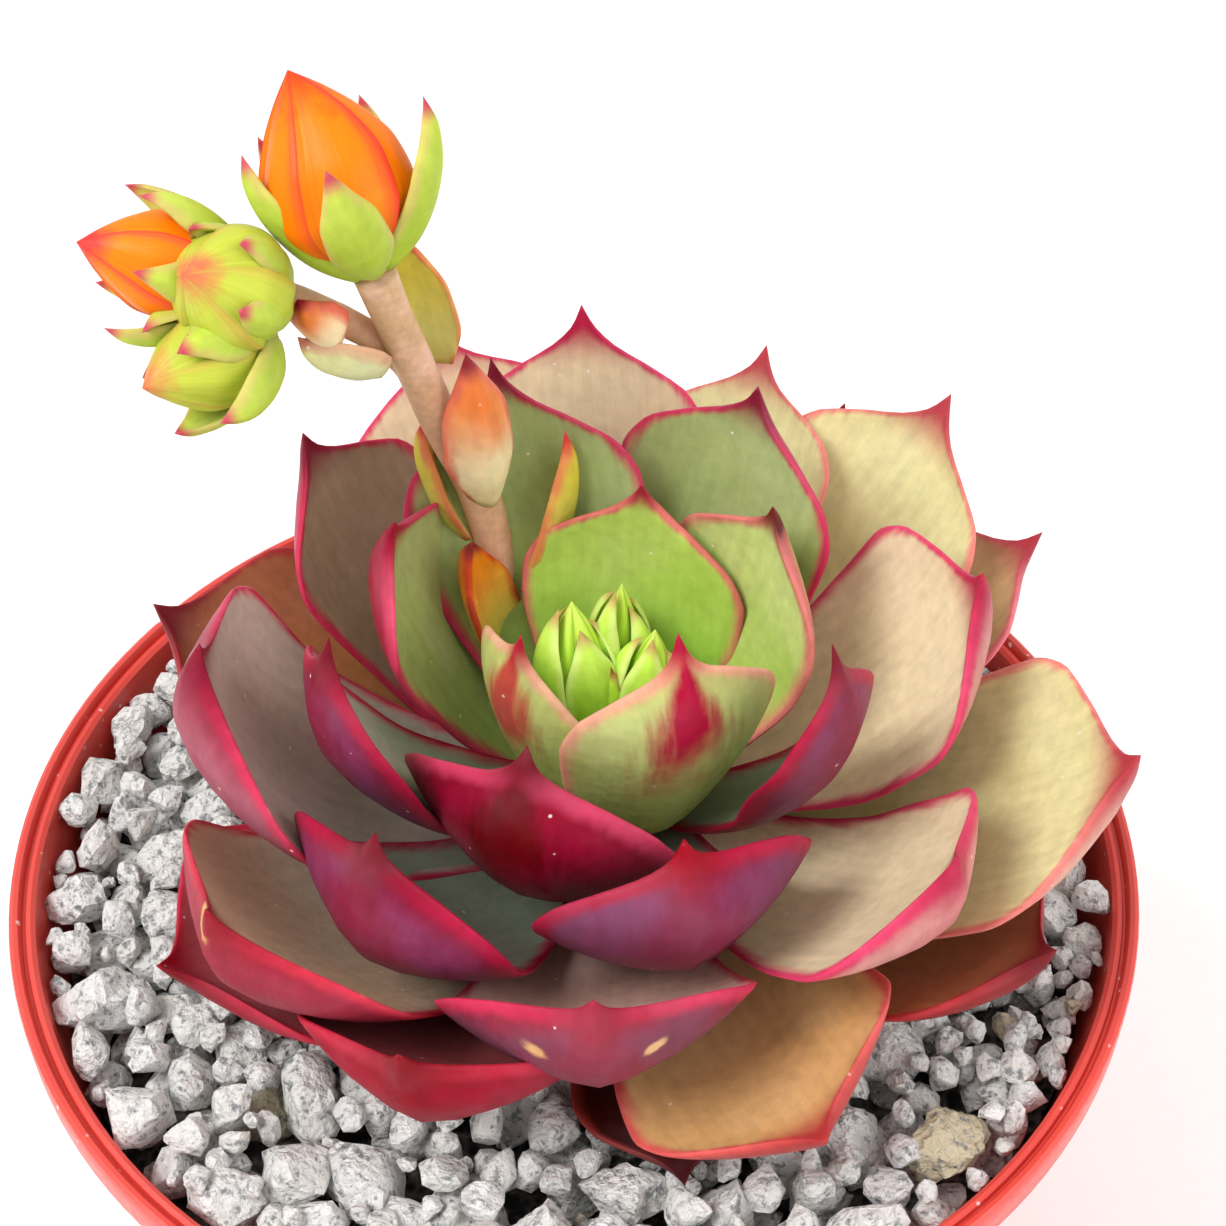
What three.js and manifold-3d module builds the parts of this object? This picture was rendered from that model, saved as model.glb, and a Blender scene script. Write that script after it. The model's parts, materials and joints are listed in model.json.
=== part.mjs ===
// Potted succulent: an echeveria rosette with a side flower stalk, in a round nursery pot.
// Millimetres, +Z up, the pot's bottom centre at the origin, the flower stalk to the back left.
import * as THREE from "three";
import Module from "manifold-3d";

// ---- the pot -------------------------------------------------------------------------------
const POT_HEIGHT = 85;
const RIM_RADIUS = 51;
const WALL_TOP_RADIUS = 50.2;
const BASE_RADIUS = 36;
const WALL = 1.2;
const RIM_WIDTH = 2.3;
const RIM_HEIGHT = 4;
const FLOOR_THICKNESS = 2;
const POT_SEGMENTS = 60;
const HOLE_COUNT = 6;
const HOLE_RADIUS = 3.5;
const HOLE_RING_RADIUS = 23;
const HOLE_SIDES = 16;

// ---- the fill ------------------------------------------------------------------------------
const GAP = 0.3;                    // kept between pieces that touch
const SMALLEST_DETAIL = 0.07;       // finer steps of a cut are smoothed away
const SOIL_TOP = 68;
const PUMICE_TOP = 80;              // near the stem
const PUMICE_EDGE_TOP = 82.4;       // heaped up against the wall
const PUMICE_BUMP = 1.3;
const PUMICE_RINGS = 10;
const PUMICE_SECTORS = 40;

// ---- the rosette ---------------------------------------------------------------------------
const CROWN_CENTRE = new THREE.Vector3(4, 1.8, 85.5);
const CROWN_TILT = 11;              // degrees the rosette leans to the front
const CROWN_HEIGHT = 9;             // between the lowest leaf base and the highest
const CROWN_INNER_RADIUS = 4;
const CROWN_OUTER_RADIUS = 5.5;
const STEM_BOTTOM = 70.5;
const SPIRAL_START = 87;            // azimuth of the innermost leaf, degrees
const SPIRAL_STEP = -137.5;         // turn from one leaf to the next
const LEAF_THICKNESS_SHARE = 0.17;  // of the leaf's width
const LEAF_CUP = 0.2;               // how far the margins rise, share of the half width

// One row a leaf, the innermost first:
// turn away from the spiral, pitch at the base, pitch at the tip (degrees),
// length, width (mm), roll about its own spine (degrees).
const LEAVES = [
  [-5, 48, 90, 26.5, 20, -10],
  [-10, 65, 99, 34, 18.6, -8],
  [29, 70, 92, 26.8, 16, 18],
  [0, 46, 92, 31, 18.5, 2],
  [-12, 30, 106, 34.5, 24, 2],
  [-4, 40, 72, 37.5, 21, -18],
  [-13, 34, 104, 41, 12.5, -10],
  [-1, 26, 100, 44.5, 15.5, 9],
  [-7, 38, 80, 37, 22, -10],
  [-7, 14, 104, 37, 23, 4],
  [2, 24, 96, 34, 18, 14],
  [-6, 14, 80, 39, 24, -2],
  [-7, 2, 104, 44, 22, 4],
  [-4, 20, 62, 41, 22, -16],
  [-4, 10, 82, 44, 21.5, 2],
  [7, 8, 94, 48.5, 26, 1],
  [-2, 2, 55, 44.5, 24, -6],
  [-3, 4, 86, 42.5, 25, 6],
  [9, 5, 74, 42, 21, 15],
  [-10, 6, 66, 48, 26.5, 1],
  [2, 0, 78, 48, 26, 8],
  [-9, 10, 42, 41.5, 23, -24],
  [-10, 3, 47, 41, 24, 14],
  [4, 11, 50, 42, 25, 0],
  [1, 10, 32, 41.5, 24, -24],
  [-5, -6, 80, 45, 24, 14],
  [2, 12, 52, 45, 24, 0],
  [-7, -6, 58, 42, 22, -10],
  [14, 0, 44, 42, 25, 2],
  [0, 2, 42, 41, 24, 0],
  [-4, -3, 26, 33, 16, 0],
];

// The inner leaves are widest nearer their middle; the outer ones nearer the tip.
const INNER_TAPER = 0.7;
const INNER_LEAVES = 10;

// Along a leaf, base to tip: place on the spine, share of the half width, share of the thickness.
const LEAF_STATIONS = [
  [0, 0.42, 0.75],
  [0.2, 0.56, 0.9],
  [0.42, 0.8, 1],
  [0.6, 0.96, 1],
  [0.72, 1, 0.95],
  [0.8, 0.88, 0.82],
  [0.86, 0.58, 0.65],
  [0.91, 0.25, 0.45],
  [0.95, 0.09, 0.28],
];
const BLADE_STATIONS = [
  [0, 0.5, 0.8],
  [0.3, 0.95, 1],
  [0.58, 0.88, 0.9],
  [0.84, 0.4, 0.6],
];
const LEAF_ACROSS = [-1, -0.55, 0, 0.55, 1];
const BLADE_ACROSS = [-1, 0, 1];
const MARGIN = 0.7;                 // thickness at a leaf's edge

// ---- the flower stalk ----------------------------------------------------------------------
const STALK_SIDES = 8;
const STALK = [
  [1, 5.5, 90],
  [-2.8, 8.6, 96],
  [-5.2, 11.2, 101],
  [-8, 13.5, 114.5],
  [-11.5, 11.5, 127],
  [-13.8, 8.8, 138],
  [-14.6, 7.4, 142.6],
];
const STALK_RADII = [1.9, 1.9, 1.9, 1.8, 1.7, 1.6, 1.7];
const BRANCH = [
  [-11.9, 11, 129],
  [-14.2, 10.4, 133],
  [-17.2, 9.3, 136.4],
  [-20.2, 7.6, 139.4],
  [-22.2, 6.6, 141],
];
const BRANCH_RADII = [1.2, 1.2, 1.2, 1.3, 1.5];

// Bracts: name, base, tip, the way the inner face looks, width, thickness, bend (degrees).
const BRACTS = [
  ["bract_1", [-5.2, 8.4, 99.5], [-8.4, 7.4, 115], [0.5, -0.5, 1], 6.2, 2.6, 20],
  ["bract_2", [-4.4, 11.4, 106], [-0.6, 14.3, 121.4], [-1, 0.2, 0.3], 4.5, 2, 20],
  ["bract_3", [-9, 13, 111], [-12.4, 13.4, 123.3], [1, 0, 0.4], 4.5, 1.8, 20],
  ["bract_4", [-7.5, 11.6, 117], [-8.3, 10.6, 132.4], [-0.4, 0.8, 0.2], 6.6, 2.4, 25],
  ["bract_5", [-11, 13, 129.5], [-13.2, 14.6, 140.6], [-0.3, -1, 0.5], 6.5, 2.2, 25],
  ["bract_6", [-14.9, 9.2, 133], [-20.6, 5.2, 138.2], [0, 0.5, 1], 5.6, 2, 15],
  ["bract_7", [-18, 6.9, 137.4], [-20.2, 4.8, 142], [0, 1, 0.2], 4.6, 1.8, 15],
];

// Flower buds: name, base, tip, radius, sepals' length, sepals' width, sepal angles out, first turn.
const BUDS = [
  ["bud_1", [-14.8, 7.6, 143.2], [-20.2, 12.6, 156.8], 5.5, 11.5, 5.2, [14, 16, 8, 34, 24], 200],
  ["bud_2", [-25, 6.6, 142.2], [-35.6, 3.9, 147.8], 4, 9.5, 4, [14, 12, 24, 20, 16], 20],
  ["bud_3", [-22.6, 5.6, 141.6], [-27.2, -0.8, 148.2], 4.6, 8, 5, [4, 4, 5, 4, 4], 60],
  ["bud_4", [-23.2, 4.2, 138.8], [-30.8, -3.6, 140.2], 3.7, 9, 5.2, [20, 4, 6, 2, 12], 350],
];
const PEDICEL_RADIUS = 1.1;
const RECEPTACLE_RADIUS = 2;
const RECEPTACLE_HEIGHT = 1.4;
const SEPALS = 5;

// The young flower head deep in the rosette: name, base, tip, radius.
const YOUNG_STALK = [[4, 2.6, 94], [3.4, 1.8, 97.8]];
const YOUNG_STALK_RADIUS = 2.2;
const YOUNG_BUDS = [
  ["young_bud_1", [1.2, 0.8, 98.6], [0, 2.4, 112.8], 3.4],
  ["young_bud_2", [4.2, 4.6, 99], [4.2, 4.4, 113], 2.1],
  ["young_bud_3", [5.9, 0.9, 98.8], [7, 1.1, 110.8], 2.7],
];
const YOUNG_BRACT = ["young_bract", [3.3, -1, 99], [3.2, 0.2, 107.4], [0, 1, 0.3], 3.6, 1.4, 10];

// Buds, base to tip: place on the axis, share of the radius.
const BUD_STATIONS = [
  [0, 0.45],
  [0.12, 0.78],
  [0.3, 1],
  [0.5, 0.94],
  [0.7, 0.68],
  [0.86, 0.36],
];
const BUD_LOBES = 5;
const BUD_LOBE_DEPTH = 0.07;
const BUD_SIDES = 10;

// ---- materials -----------------------------------------------------------------------------
const LOOKS = {
  pot: [0xd4462f, 0.45],
  soil: [0x2e2620, 0.95],
  pumice: [0xc9c8c5, 0.9],
  stem: [0x8a6f55, 0.8],
  leaf: [0x9fb26a, 0.5],
  stalk: [0xd9a58e, 0.5],
  bract: [0xdcb45a, 0.5],
  sepal: [0xb9cf5a, 0.5],
  petal: [0xf07a2a, 0.45],
  young: [0xa8d93f, 0.5],
};

const wasm = await Module();
wasm.setup();
const radians = THREE.MathUtils.degToRad;
const vector = (list) => new THREE.Vector3(...list);

// A small repeatable noise, -1 to 1, for the lumps of the pumice.
function noise(a, b) {
  const wave = Math.sin(a * 12.9898 + b * 78.233) * 43758.5453;
  return (wave - Math.floor(wave)) * 2 - 1;
}

function solidOf(points, triangles) {
  const mesh = new wasm.Mesh({
    numProp: 3,
    vertProperties: new Float32Array(points.flatMap((point) => point.toArray())),
    triVerts: new Uint32Array(triangles.flat()),
  });
  return new wasm.Manifold(mesh);
}

// Joins rings of points into one closed solid; the last ring may close on a single point.
function skin(rings, capStart, capEnd) {
  const points = rings.flat();
  const count = rings[0].length;
  const triangles = [];
  for (let row = 0; row + 1 < rings.length; row += 1) {
    for (let index = 0; index < count; index += 1) {
      const next = (index + 1) % count;
      const a = row * count + index;
      const b = row * count + next;
      triangles.push([a, b, b + count], [a, b + count, a + count]);
    }
  }
  capStart(points, triangles, 0, count, false);
  capEnd(points, triangles, (rings.length - 1) * count, count, true);
  const solid = solidOf(points, triangles);
  if (solid.volume() > 0) {
    return solid;
  }
  return solidOf(points, triangles.map(([a, b, c]) => [a, c, b]));
}

// A cap of strips between the upper and the lower half of a blade's ring.
function stripCap(points, triangles, start, count, last) {
  for (let index = 0; index + 1 < count / 2; index += 1) {
    const a = start + index;
    const b = a + 1;
    const d = start + count - 1 - index;
    const c = d - 1;
    const faces = [[a, c, b], [a, d, c]];
    triangles.push(...(last ? faces.map(([p, q, r]) => [p, r, q]) : faces));
  }
}

// A cap that runs to one point.
function pointCap(apex) {
  return (points, triangles, start, count, last) => {
    const tip = points.length;
    points.push(apex);
    for (let index = 0; index < count; index += 1) {
      const a = start + index;
      const b = start + (index + 1) % count;
      triangles.push(last ? [a, b, tip] : [b, a, tip]);
    }
  };
}

// A leaf-like blade. The spine starts at base, runs along `along` and bends to `inner`.
function blade({ base, along, inner, length, pitch, bend, width, thick, cup, roll, stations, widths, grow }) {
  const side = new THREE.Vector3().crossVectors(inner, along).normalize();
  const spine = base.clone();
  const rings = [];
  let reached = 0;
  const advance = (place) => {
    const steps = 8;
    for (let step = 0; step < steps; step += 1) {
      const middle = reached + (place - reached) * (step + 0.5) / steps;
      const angle = radians(pitch + bend * middle);
      const move = (length + grow) * (place - reached) / steps;
      spine.addScaledVector(along, Math.cos(angle) * move);
      spine.addScaledVector(inner, Math.sin(angle) * move);
    }
    reached = place;
  };
  for (const [place, widthShare, thickShare] of stations) {
    advance(place);
    const angle = radians(pitch + bend * place);
    const face = new THREE.Vector3();
    face.addScaledVector(along, -Math.sin(angle)).addScaledVector(inner, Math.cos(angle));
    const turn = radians(roll) * THREE.MathUtils.smoothstep(place, 0, 0.6);
    const across = side.clone().multiplyScalar(Math.cos(turn)).addScaledVector(face, Math.sin(turn));
    const normal = face.clone().multiplyScalar(Math.cos(turn)).addScaledVector(side, -Math.sin(turn));
    const half = widthShare * width / 2;
    const edge = Math.min(MARGIN, thick * thickShare * 0.6);
    const upper = [];
    const lower = [];
    for (const share of widths) {
      const rise = cup * half * share * share;
      const depth = edge + (thick * thickShare - edge) * (1 - Math.abs(share) ** 1.8);
      const point = spine.clone().addScaledVector(across, share * (half + grow));
      upper.push(point.clone().addScaledVector(normal, rise + grow));
      lower.unshift(point.clone().addScaledVector(normal, rise - depth - grow));
    }
    rings.push([...upper, ...lower]);
  }
  advance(1);
  return skin(rings, stripCap, pointCap(spine.clone()));
}

// A round rod through a line of points.
function rod(line, radii, sides, grow) {
  const places = line.map(vector);
  const rings = [];
  let side = new THREE.Vector3(1, 0, 0);
  places.forEach((place, index) => {
    const before = places[Math.max(index - 1, 0)];
    const after = places[Math.min(index + 1, places.length - 1)];
    const along = after.clone().sub(before).normalize();
    side = side.clone().addScaledVector(along, -side.dot(along)).normalize();
    const other = new THREE.Vector3().crossVectors(along, side);
    const ring = [];
    for (let step = 0; step < sides; step += 1) {
      const angle = 2 * Math.PI * step / sides;
      const point = place.clone();
      point.addScaledVector(side, Math.cos(angle) * (radii[index] + grow));
      point.addScaledVector(other, Math.sin(angle) * (radii[index] + grow));
      ring.push(point);
    }
    rings.push(ring);
  });
  const start = places[0].clone();
  const end = places[places.length - 1].clone();
  return skin(rings, pointCap(start), pointCap(end));
}

// A closed flower bud, faintly ribbed by its five petals.
function bud(base, tip, radius, grow) {
  const axis = tip.clone().sub(base);
  const along = axis.clone().normalize();
  const side = new THREE.Vector3(0, 0, 1).cross(along).normalize();
  const other = new THREE.Vector3().crossVectors(along, side);
  const rings = BUD_STATIONS.map(([place, share]) => {
    const ring = [];
    for (let step = 0; step < BUD_SIDES; step += 1) {
      const angle = 2 * Math.PI * step / BUD_SIDES;
      const rib = 1 + BUD_LOBE_DEPTH * Math.cos(angle * BUD_LOBES) * (0.4 + place);
      const reach = radius * share * rib + grow;
      const point = base.clone().addScaledVector(axis, place);
      point.addScaledVector(side, Math.cos(angle) * reach);
      point.addScaledVector(other, Math.sin(angle) * reach);
      ring.push(point);
    }
    return ring;
  });
  const start = base.clone().addScaledVector(along, -grow);
  const end = tip.clone().addScaledVector(along, grow);
  return skin(rings, pointCap(start), pointCap(end));
}

// A bract or a sepal given by its base, its tip and the way its inner face looks.
function bladeBetween(base, tip, look, width, thick, bend, grow) {
  const chord = tip.clone().sub(base);
  const forward = chord.clone().normalize();
  const inner = look.clone().addScaledVector(forward, -look.dot(forward)).normalize();
  const length = chord.length() * (1 + (radians(bend) ** 2) / 24);
  return blade({
    base,
    along: forward,
    inner,
    length,
    pitch: -bend / 2,
    bend,
    width,
    thick,
    cup: 0.35,
    roll: 0,
    stations: BLADE_STATIONS,
    widths: BLADE_ACROSS,
    grow,
  });
}

const tilt = new THREE.Matrix4().makeRotationX(radians(CROWN_TILT));

function crownPoint(azimuth, reach, height) {
  const angle = radians(azimuth);
  const point = new THREE.Vector3(Math.cos(angle) * reach, Math.sin(angle) * reach, height);
  return point.applyMatrix4(tilt).add(CROWN_CENTRE);
}

function leaf(index, grow) {
  const [nudge, pitch, tipPitch, length, width, roll] = LEAVES[index];
  const share = index / (LEAVES.length - 1);
  const azimuth = SPIRAL_START + SPIRAL_STEP * index + nudge;
  const reach = CROWN_INNER_RADIUS + (CROWN_OUTER_RADIUS - CROWN_INNER_RADIUS) * share;
  const taper = 1 + INNER_TAPER * Math.max(0, 1 - index / INNER_LEAVES);
  const angle = radians(azimuth);
  const along = new THREE.Vector3(Math.cos(angle), Math.sin(angle), 0).transformDirection(tilt);
  const inner = new THREE.Vector3(0, 0, 1).transformDirection(tilt);
  return blade({
    base: crownPoint(azimuth, reach, CROWN_HEIGHT * (1 - share)),
    along,
    inner,
    length,
    pitch,
    bend: tipPitch - pitch,
    width,
    thick: width * LEAF_THICKNESS_SHARE,
    cup: LEAF_CUP,
    roll,
    stations: LEAF_STATIONS.map(([place, ...shares]) => [place ** taper, ...shares]),
    widths: LEAF_ACROSS,
    grow,
  });
}

// The largest body of a solid, with slivers smoothed away.
function largest(solid) {
  const bodies = solid.simplify(SMALLEST_DETAIL).decompose();
  bodies.sort((a, b) => b.volume() - a.volume());
  return bodies[0];
}

// ---- pot and fill --------------------------------------------------------------------------
function innerRadius(height) {
  const share = height / POT_HEIGHT;
  return BASE_RADIUS + (WALL_TOP_RADIUS - BASE_RADIUS) * share - WALL;
}

function turned(profile) {
  const rings = profile.map(([radius, height]) => {
    const ring = [];
    for (let step = 0; step < POT_SEGMENTS; step += 1) {
      const angle = 2 * Math.PI * step / POT_SEGMENTS;
      ring.push(new THREE.Vector3(Math.cos(angle) * radius, Math.sin(angle) * radius, height));
    }
    return ring;
  });
  const start = new THREE.Vector3(0, 0, profile[0][1]);
  const end = new THREE.Vector3(0, 0, profile[profile.length - 1][1]);
  return skin(rings, pointCap(start), pointCap(end));
}

function makePot() {
  const lipBottom = POT_HEIGHT - RIM_HEIGHT;
  const wallAtLip = innerRadius(lipBottom) + WALL;
  const rimInner = RIM_RADIUS - RIM_WIDTH;
  const pot = turned([
    [BASE_RADIUS - 1, 0],
    [BASE_RADIUS, 1],
    [wallAtLip, lipBottom],
    [RIM_RADIUS - 0.1, lipBottom + 0.2],
    [RIM_RADIUS, POT_HEIGHT - 0.4],
    [RIM_RADIUS - 0.4, POT_HEIGHT],
    [RIM_RADIUS - 1, POT_HEIGHT - 0.1],
    [RIM_RADIUS - 1.3, POT_HEIGHT - 0.7],
    [rimInner, POT_HEIGHT - 0.8],
    [innerRadius(POT_HEIGHT - 2), POT_HEIGHT - 2],
    [innerRadius(FLOOR_THICKNESS), FLOOR_THICKNESS],
  ]);
  const holes = [];
  for (let index = 0; index < HOLE_COUNT; index += 1) {
    const angle = 2 * Math.PI * index / HOLE_COUNT;
    const x = Math.cos(angle) * HOLE_RING_RADIUS;
    const y = Math.sin(angle) * HOLE_RING_RADIUS;
    const tool = wasm.Manifold.cylinder(FLOOR_THICKNESS + 2, HOLE_RADIUS, HOLE_RADIUS, HOLE_SIDES);
    holes.push(tool.translate([x, y, -1]));
  }
  return pot.subtract(wasm.Manifold.union(holes));
}

function makeSoil() {
  const bottom = FLOOR_THICKNESS + GAP;
  return turned([
    [innerRadius(bottom) - 1.4, bottom],
    [innerRadius(bottom + 1) - GAP, bottom + 1],
    [innerRadius(SOIL_TOP) - GAP, SOIL_TOP],
  ]);
}

function makePumice() {
  const bottom = SOIL_TOP + GAP;
  const rings = [];
  const ringOf = (radius, heightAt) => {
    const ring = [];
    for (let step = 0; step < PUMICE_SECTORS; step += 1) {
      const angle = 2 * Math.PI * step / PUMICE_SECTORS;
      const x = Math.cos(angle) * radius;
      const y = Math.sin(angle) * radius;
      ring.push(new THREE.Vector3(x, y, heightAt(step)));
    }
    return ring;
  };
  const wallTop = PUMICE_EDGE_TOP - 1;
  const rim = innerRadius(wallTop) - GAP;
  rings.push(ringOf(innerRadius(bottom) - GAP, () => bottom));
  rings.push(ringOf(rim, () => wallTop));
  for (let row = 1; row < PUMICE_RINGS; row += 1) {
    const share = 1 - row / PUMICE_RINGS;
    const radius = rim * share;
    const level = PUMICE_TOP + (PUMICE_EDGE_TOP - PUMICE_TOP) * share ** 2;
    const lump = (step) => level + PUMICE_BUMP * noise(Math.floor(step / 2) + 1, row);
    rings.push(ringOf(radius, lump));
  }
  const start = new THREE.Vector3(0, 0, bottom);
  const end = new THREE.Vector3(0, 0, PUMICE_TOP);
  return skin(rings, pointCap(start), pointCap(end));
}

function stemRod(grow) {
  const top = crownPoint(0, 0, CROWN_HEIGHT + 1.5).toArray();
  const middle = crownPoint(0, 0, 1).toArray();
  const foot = [CROWN_CENTRE.x, CROWN_CENTRE.y + 1, STEM_BOTTOM - grow];
  return rod([foot, middle, top], [4.5, 4.8, 2.6], 16, grow);
}

// ---- assembly ------------------------------------------------------------------------------
const group = new THREE.Group();
group.name = "potted_succulent";

function add(name, solid, look) {
  const mesh = solid.getMesh();
  const geometry = new THREE.BufferGeometry();
  const stride = mesh.numProp;
  const count = mesh.vertProperties.length / stride;
  const positions = new Float32Array(count * 3);
  for (let index = 0; index < count; index += 1) {
    for (let axis = 0; axis < 3; axis += 1) {
      positions[index * 3 + axis] = mesh.vertProperties[index * stride + axis];
    }
  }
  geometry.setAttribute("position", new THREE.BufferAttribute(positions, 3));
  geometry.setIndex(new THREE.BufferAttribute(new Uint32Array(mesh.triVerts), 1));
  geometry.computeVertexNormals();
  const [color, roughness] = LOOKS[look];
  const material = new THREE.MeshStandardMaterial({ color, roughness });
  material.name = look;
  const body = new THREE.Mesh(geometry, material);
  body.name = name;
  group.add(body);
}

add("pot", makePot(), "pot");
add("soil", makeSoil(), "soil");
add("stem", stemRod(0), "stem");

// Pieces already placed, grown by the gap, which later pieces are cut back from.
const taken = [stemRod(GAP)];

function place(name, solid, grown, look) {
  const box = solid.boundingBox();
  const near = taken.filter((other) => {
    const rival = other.boundingBox();
    return [0, 1, 2].every((axis) => rival.min[axis] < box.max[axis] && box.min[axis] < rival.max[axis]);
  });
  const cut = near.length ? solid.subtract(wasm.Manifold.union(near)) : solid;
  add(name, largest(cut), look);
  taken.push(grown);
}

function stalkSolid(grow) {
  const main = rod(STALK, STALK_RADII, STALK_SIDES, grow);
  const branch = rod(BRANCH, BRANCH_RADII, STALK_SIDES, grow);
  const pedicels = BUDS.slice(1).map(([, base]) => {
    const end = vector(base);
    const start = vector(BRANCH[BRANCH.length - 1]);
    const stop = end.clone().sub(start).setLength(end.distanceTo(start) - RECEPTACLE_HEIGHT);
    const line = [start.toArray(), start.clone().add(stop).toArray()];
    return rod(line, [PEDICEL_RADIUS, PEDICEL_RADIUS], STALK_SIDES, grow);
  });
  return wasm.Manifold.union([main, branch, ...pedicels]);
}

// The young flower head first, so that the leaves are cut back from it.
place(
  "young_stalk",
  rod(YOUNG_STALK, [YOUNG_STALK_RADIUS, YOUNG_STALK_RADIUS], STALK_SIDES, 0),
  rod(YOUNG_STALK, [YOUNG_STALK_RADIUS, YOUNG_STALK_RADIUS], STALK_SIDES, GAP),
  "young",
);
for (const [name, base, tip, radius] of YOUNG_BUDS) {
  place(name, bud(vector(base), vector(tip), radius, 0), bud(vector(base), vector(tip), radius, GAP), "young");
}
{
  const [name, base, tip, look, width, thick, bend] = YOUNG_BRACT;
  const make = (grow) => bladeBetween(vector(base), vector(tip), vector(look), width, thick, bend, grow);
  place(name, make(0), make(GAP), "young");
}

place("flower_stalk", stalkSolid(0), stalkSolid(GAP), "stalk");

for (const [name, base, tip, radius] of BUDS) {
  const start = vector(base);
  const end = vector(tip);
  const lift = end.clone().sub(start).setLength(RECEPTACLE_HEIGHT * 0.5 + GAP);
  const foot = start.clone().add(lift);
  place(`${name}_petals`, bud(foot, end, radius, 0), bud(foot, end, radius, GAP), "petal");
}

function calyx(base, tip, sepalLength, sepalWidth, angles, firstTurn, radius, grow) {
  const along = tip.clone().sub(base).normalize();
  const side = new THREE.Vector3(0, 0, 1).cross(along).normalize();
  const other = new THREE.Vector3().crossVectors(along, side);
  const back = base.clone().addScaledVector(along, -RECEPTACLE_HEIGHT * 0.5);
  const front = base.clone().addScaledVector(along, RECEPTACLE_HEIGHT * 0.5);
  const radii = [RECEPTACLE_RADIUS * 0.7, RECEPTACLE_RADIUS];
  const parts = [rod([back.toArray(), front.toArray()], radii, STALK_SIDES, grow)];
  angles.forEach((out, index) => {
    const turn = radians(firstTurn + index * 360 / SEPALS);
    const outward = side.clone().multiplyScalar(Math.cos(turn)).addScaledVector(other, Math.sin(turn));
    const root = base.clone().addScaledVector(outward, RECEPTACLE_RADIUS * 0.5);
    const belly = radius * 0.75 + Math.sin(radians(out)) * sepalLength;
    const end = base.clone().addScaledVector(along, Math.cos(radians(out)) * sepalLength);
    end.addScaledVector(outward, belly);
    parts.push(bladeBetween(root, end, along.clone().sub(outward), sepalWidth, 1.3, 55, grow));
  });
  return wasm.Manifold.union(parts);
}

for (const [name, base, tip, radius, sepalLength, sepalWidth, angles, firstTurn] of BUDS) {
  const make = (grow) => {
    return calyx(vector(base), vector(tip), sepalLength, sepalWidth, angles, firstTurn, radius, grow);
  };
  place(`${name}_calyx`, make(0), make(GAP), "sepal");
}

for (const [name, base, tip, look, width, thick, bend] of BRACTS) {
  const make = (grow) => bladeBetween(vector(base), vector(tip), vector(look), width, thick, bend, grow);
  place(name, make(0), make(GAP), "bract");
}

LEAVES.forEach((row, index) => {
  const name = `leaf_${String(index + 1).padStart(2, "0")}`;
  place(name, leaf(index, 0), leaf(index, GAP), "leaf");
});

// The pumice last: the stem and the lowest leaves lie in hollows of it.
place("pumice", makePumice(), makePumice(), "pumice");

export default group;
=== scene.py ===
"""Looks of a potted succulent: an echeveria rosette with a side flower stalk, in a pot of pumice."""
import json
import math
import random

import bmesh
import bpy
import numpy as np
from mathutils import Matrix, Quaternion, Vector, noise
from mathutils.bvhtree import BVHTree

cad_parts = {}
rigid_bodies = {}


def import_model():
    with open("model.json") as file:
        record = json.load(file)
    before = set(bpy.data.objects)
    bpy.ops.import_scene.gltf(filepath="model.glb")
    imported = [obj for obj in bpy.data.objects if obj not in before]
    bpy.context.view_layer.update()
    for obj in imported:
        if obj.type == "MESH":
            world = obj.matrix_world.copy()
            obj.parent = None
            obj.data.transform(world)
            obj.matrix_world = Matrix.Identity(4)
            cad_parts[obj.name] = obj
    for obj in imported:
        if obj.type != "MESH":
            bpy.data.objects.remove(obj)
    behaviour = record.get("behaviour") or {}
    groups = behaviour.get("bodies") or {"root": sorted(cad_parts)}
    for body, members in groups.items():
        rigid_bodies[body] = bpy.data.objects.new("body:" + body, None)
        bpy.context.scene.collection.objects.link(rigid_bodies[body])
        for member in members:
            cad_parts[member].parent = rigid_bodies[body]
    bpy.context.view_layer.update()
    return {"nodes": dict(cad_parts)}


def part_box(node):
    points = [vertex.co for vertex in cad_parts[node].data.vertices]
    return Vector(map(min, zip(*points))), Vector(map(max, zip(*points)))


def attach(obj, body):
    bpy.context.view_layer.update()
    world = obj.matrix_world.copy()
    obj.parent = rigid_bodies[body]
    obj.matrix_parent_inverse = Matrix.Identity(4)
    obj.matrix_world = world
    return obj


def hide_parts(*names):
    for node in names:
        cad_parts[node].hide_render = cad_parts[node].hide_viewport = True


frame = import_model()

bl_info = {
    "name": "Potted succulent",
    "version": (1, 0, 0),
    "blender": (4, 5, 0),
    "location": "View3D > Sidebar > Succulent",
    "description": "Builds the looks of an echeveria rosette in a round nursery pot",
    "category": "Object",
}

MM = 0.001

# ---- sizes read from the frame --------------------------------------------------------------
POT_LOW, POT_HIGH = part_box("pot")
PUMICE_LOW, PUMICE_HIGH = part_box("pumice")

# ---- the gravel, in metres ------------------------------------------------------------------
# The bed: the share of its blank that is its side, its gap to the wall and its lumps' height.
BED_SIDE = 0.1
BED_GAP = 0.3 * MM
BED_LUMPS = 1.2 * MM
# A patch at the right has only grit.
GRIT_PATCH = (0.037, -0.016)
GRIT_PATCH_RADIUS = 0.011
# How far the stones may stand above the pumice's top at the wall, and how much less in the middle.
GRAVEL_EDGE_RISE = 2.4 * MM
GRAVEL_DISH = 2.8 * MM
# Places tried for a stone, of which the lowest is taken.
STONE_TRIES = 34
GRIT_TRIES = 14
# The shares of their radii at which two stones touch, and a stone touches the wall.
TOUCH_SHARE = 0.85
WALL_SHARE = 0.86
# A stone's longest reach as a share of its radius, and how it is made lumpy, chipped and roughened.
STONE_REACH = 1.12
STONE_LUMPS = 0.36
STONE_CHIPS = 12
STONE_FROTH = 0.12
STONE_SMOOTH_ANGLE = 28
YELLOW_CHANCE = 0.04

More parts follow.
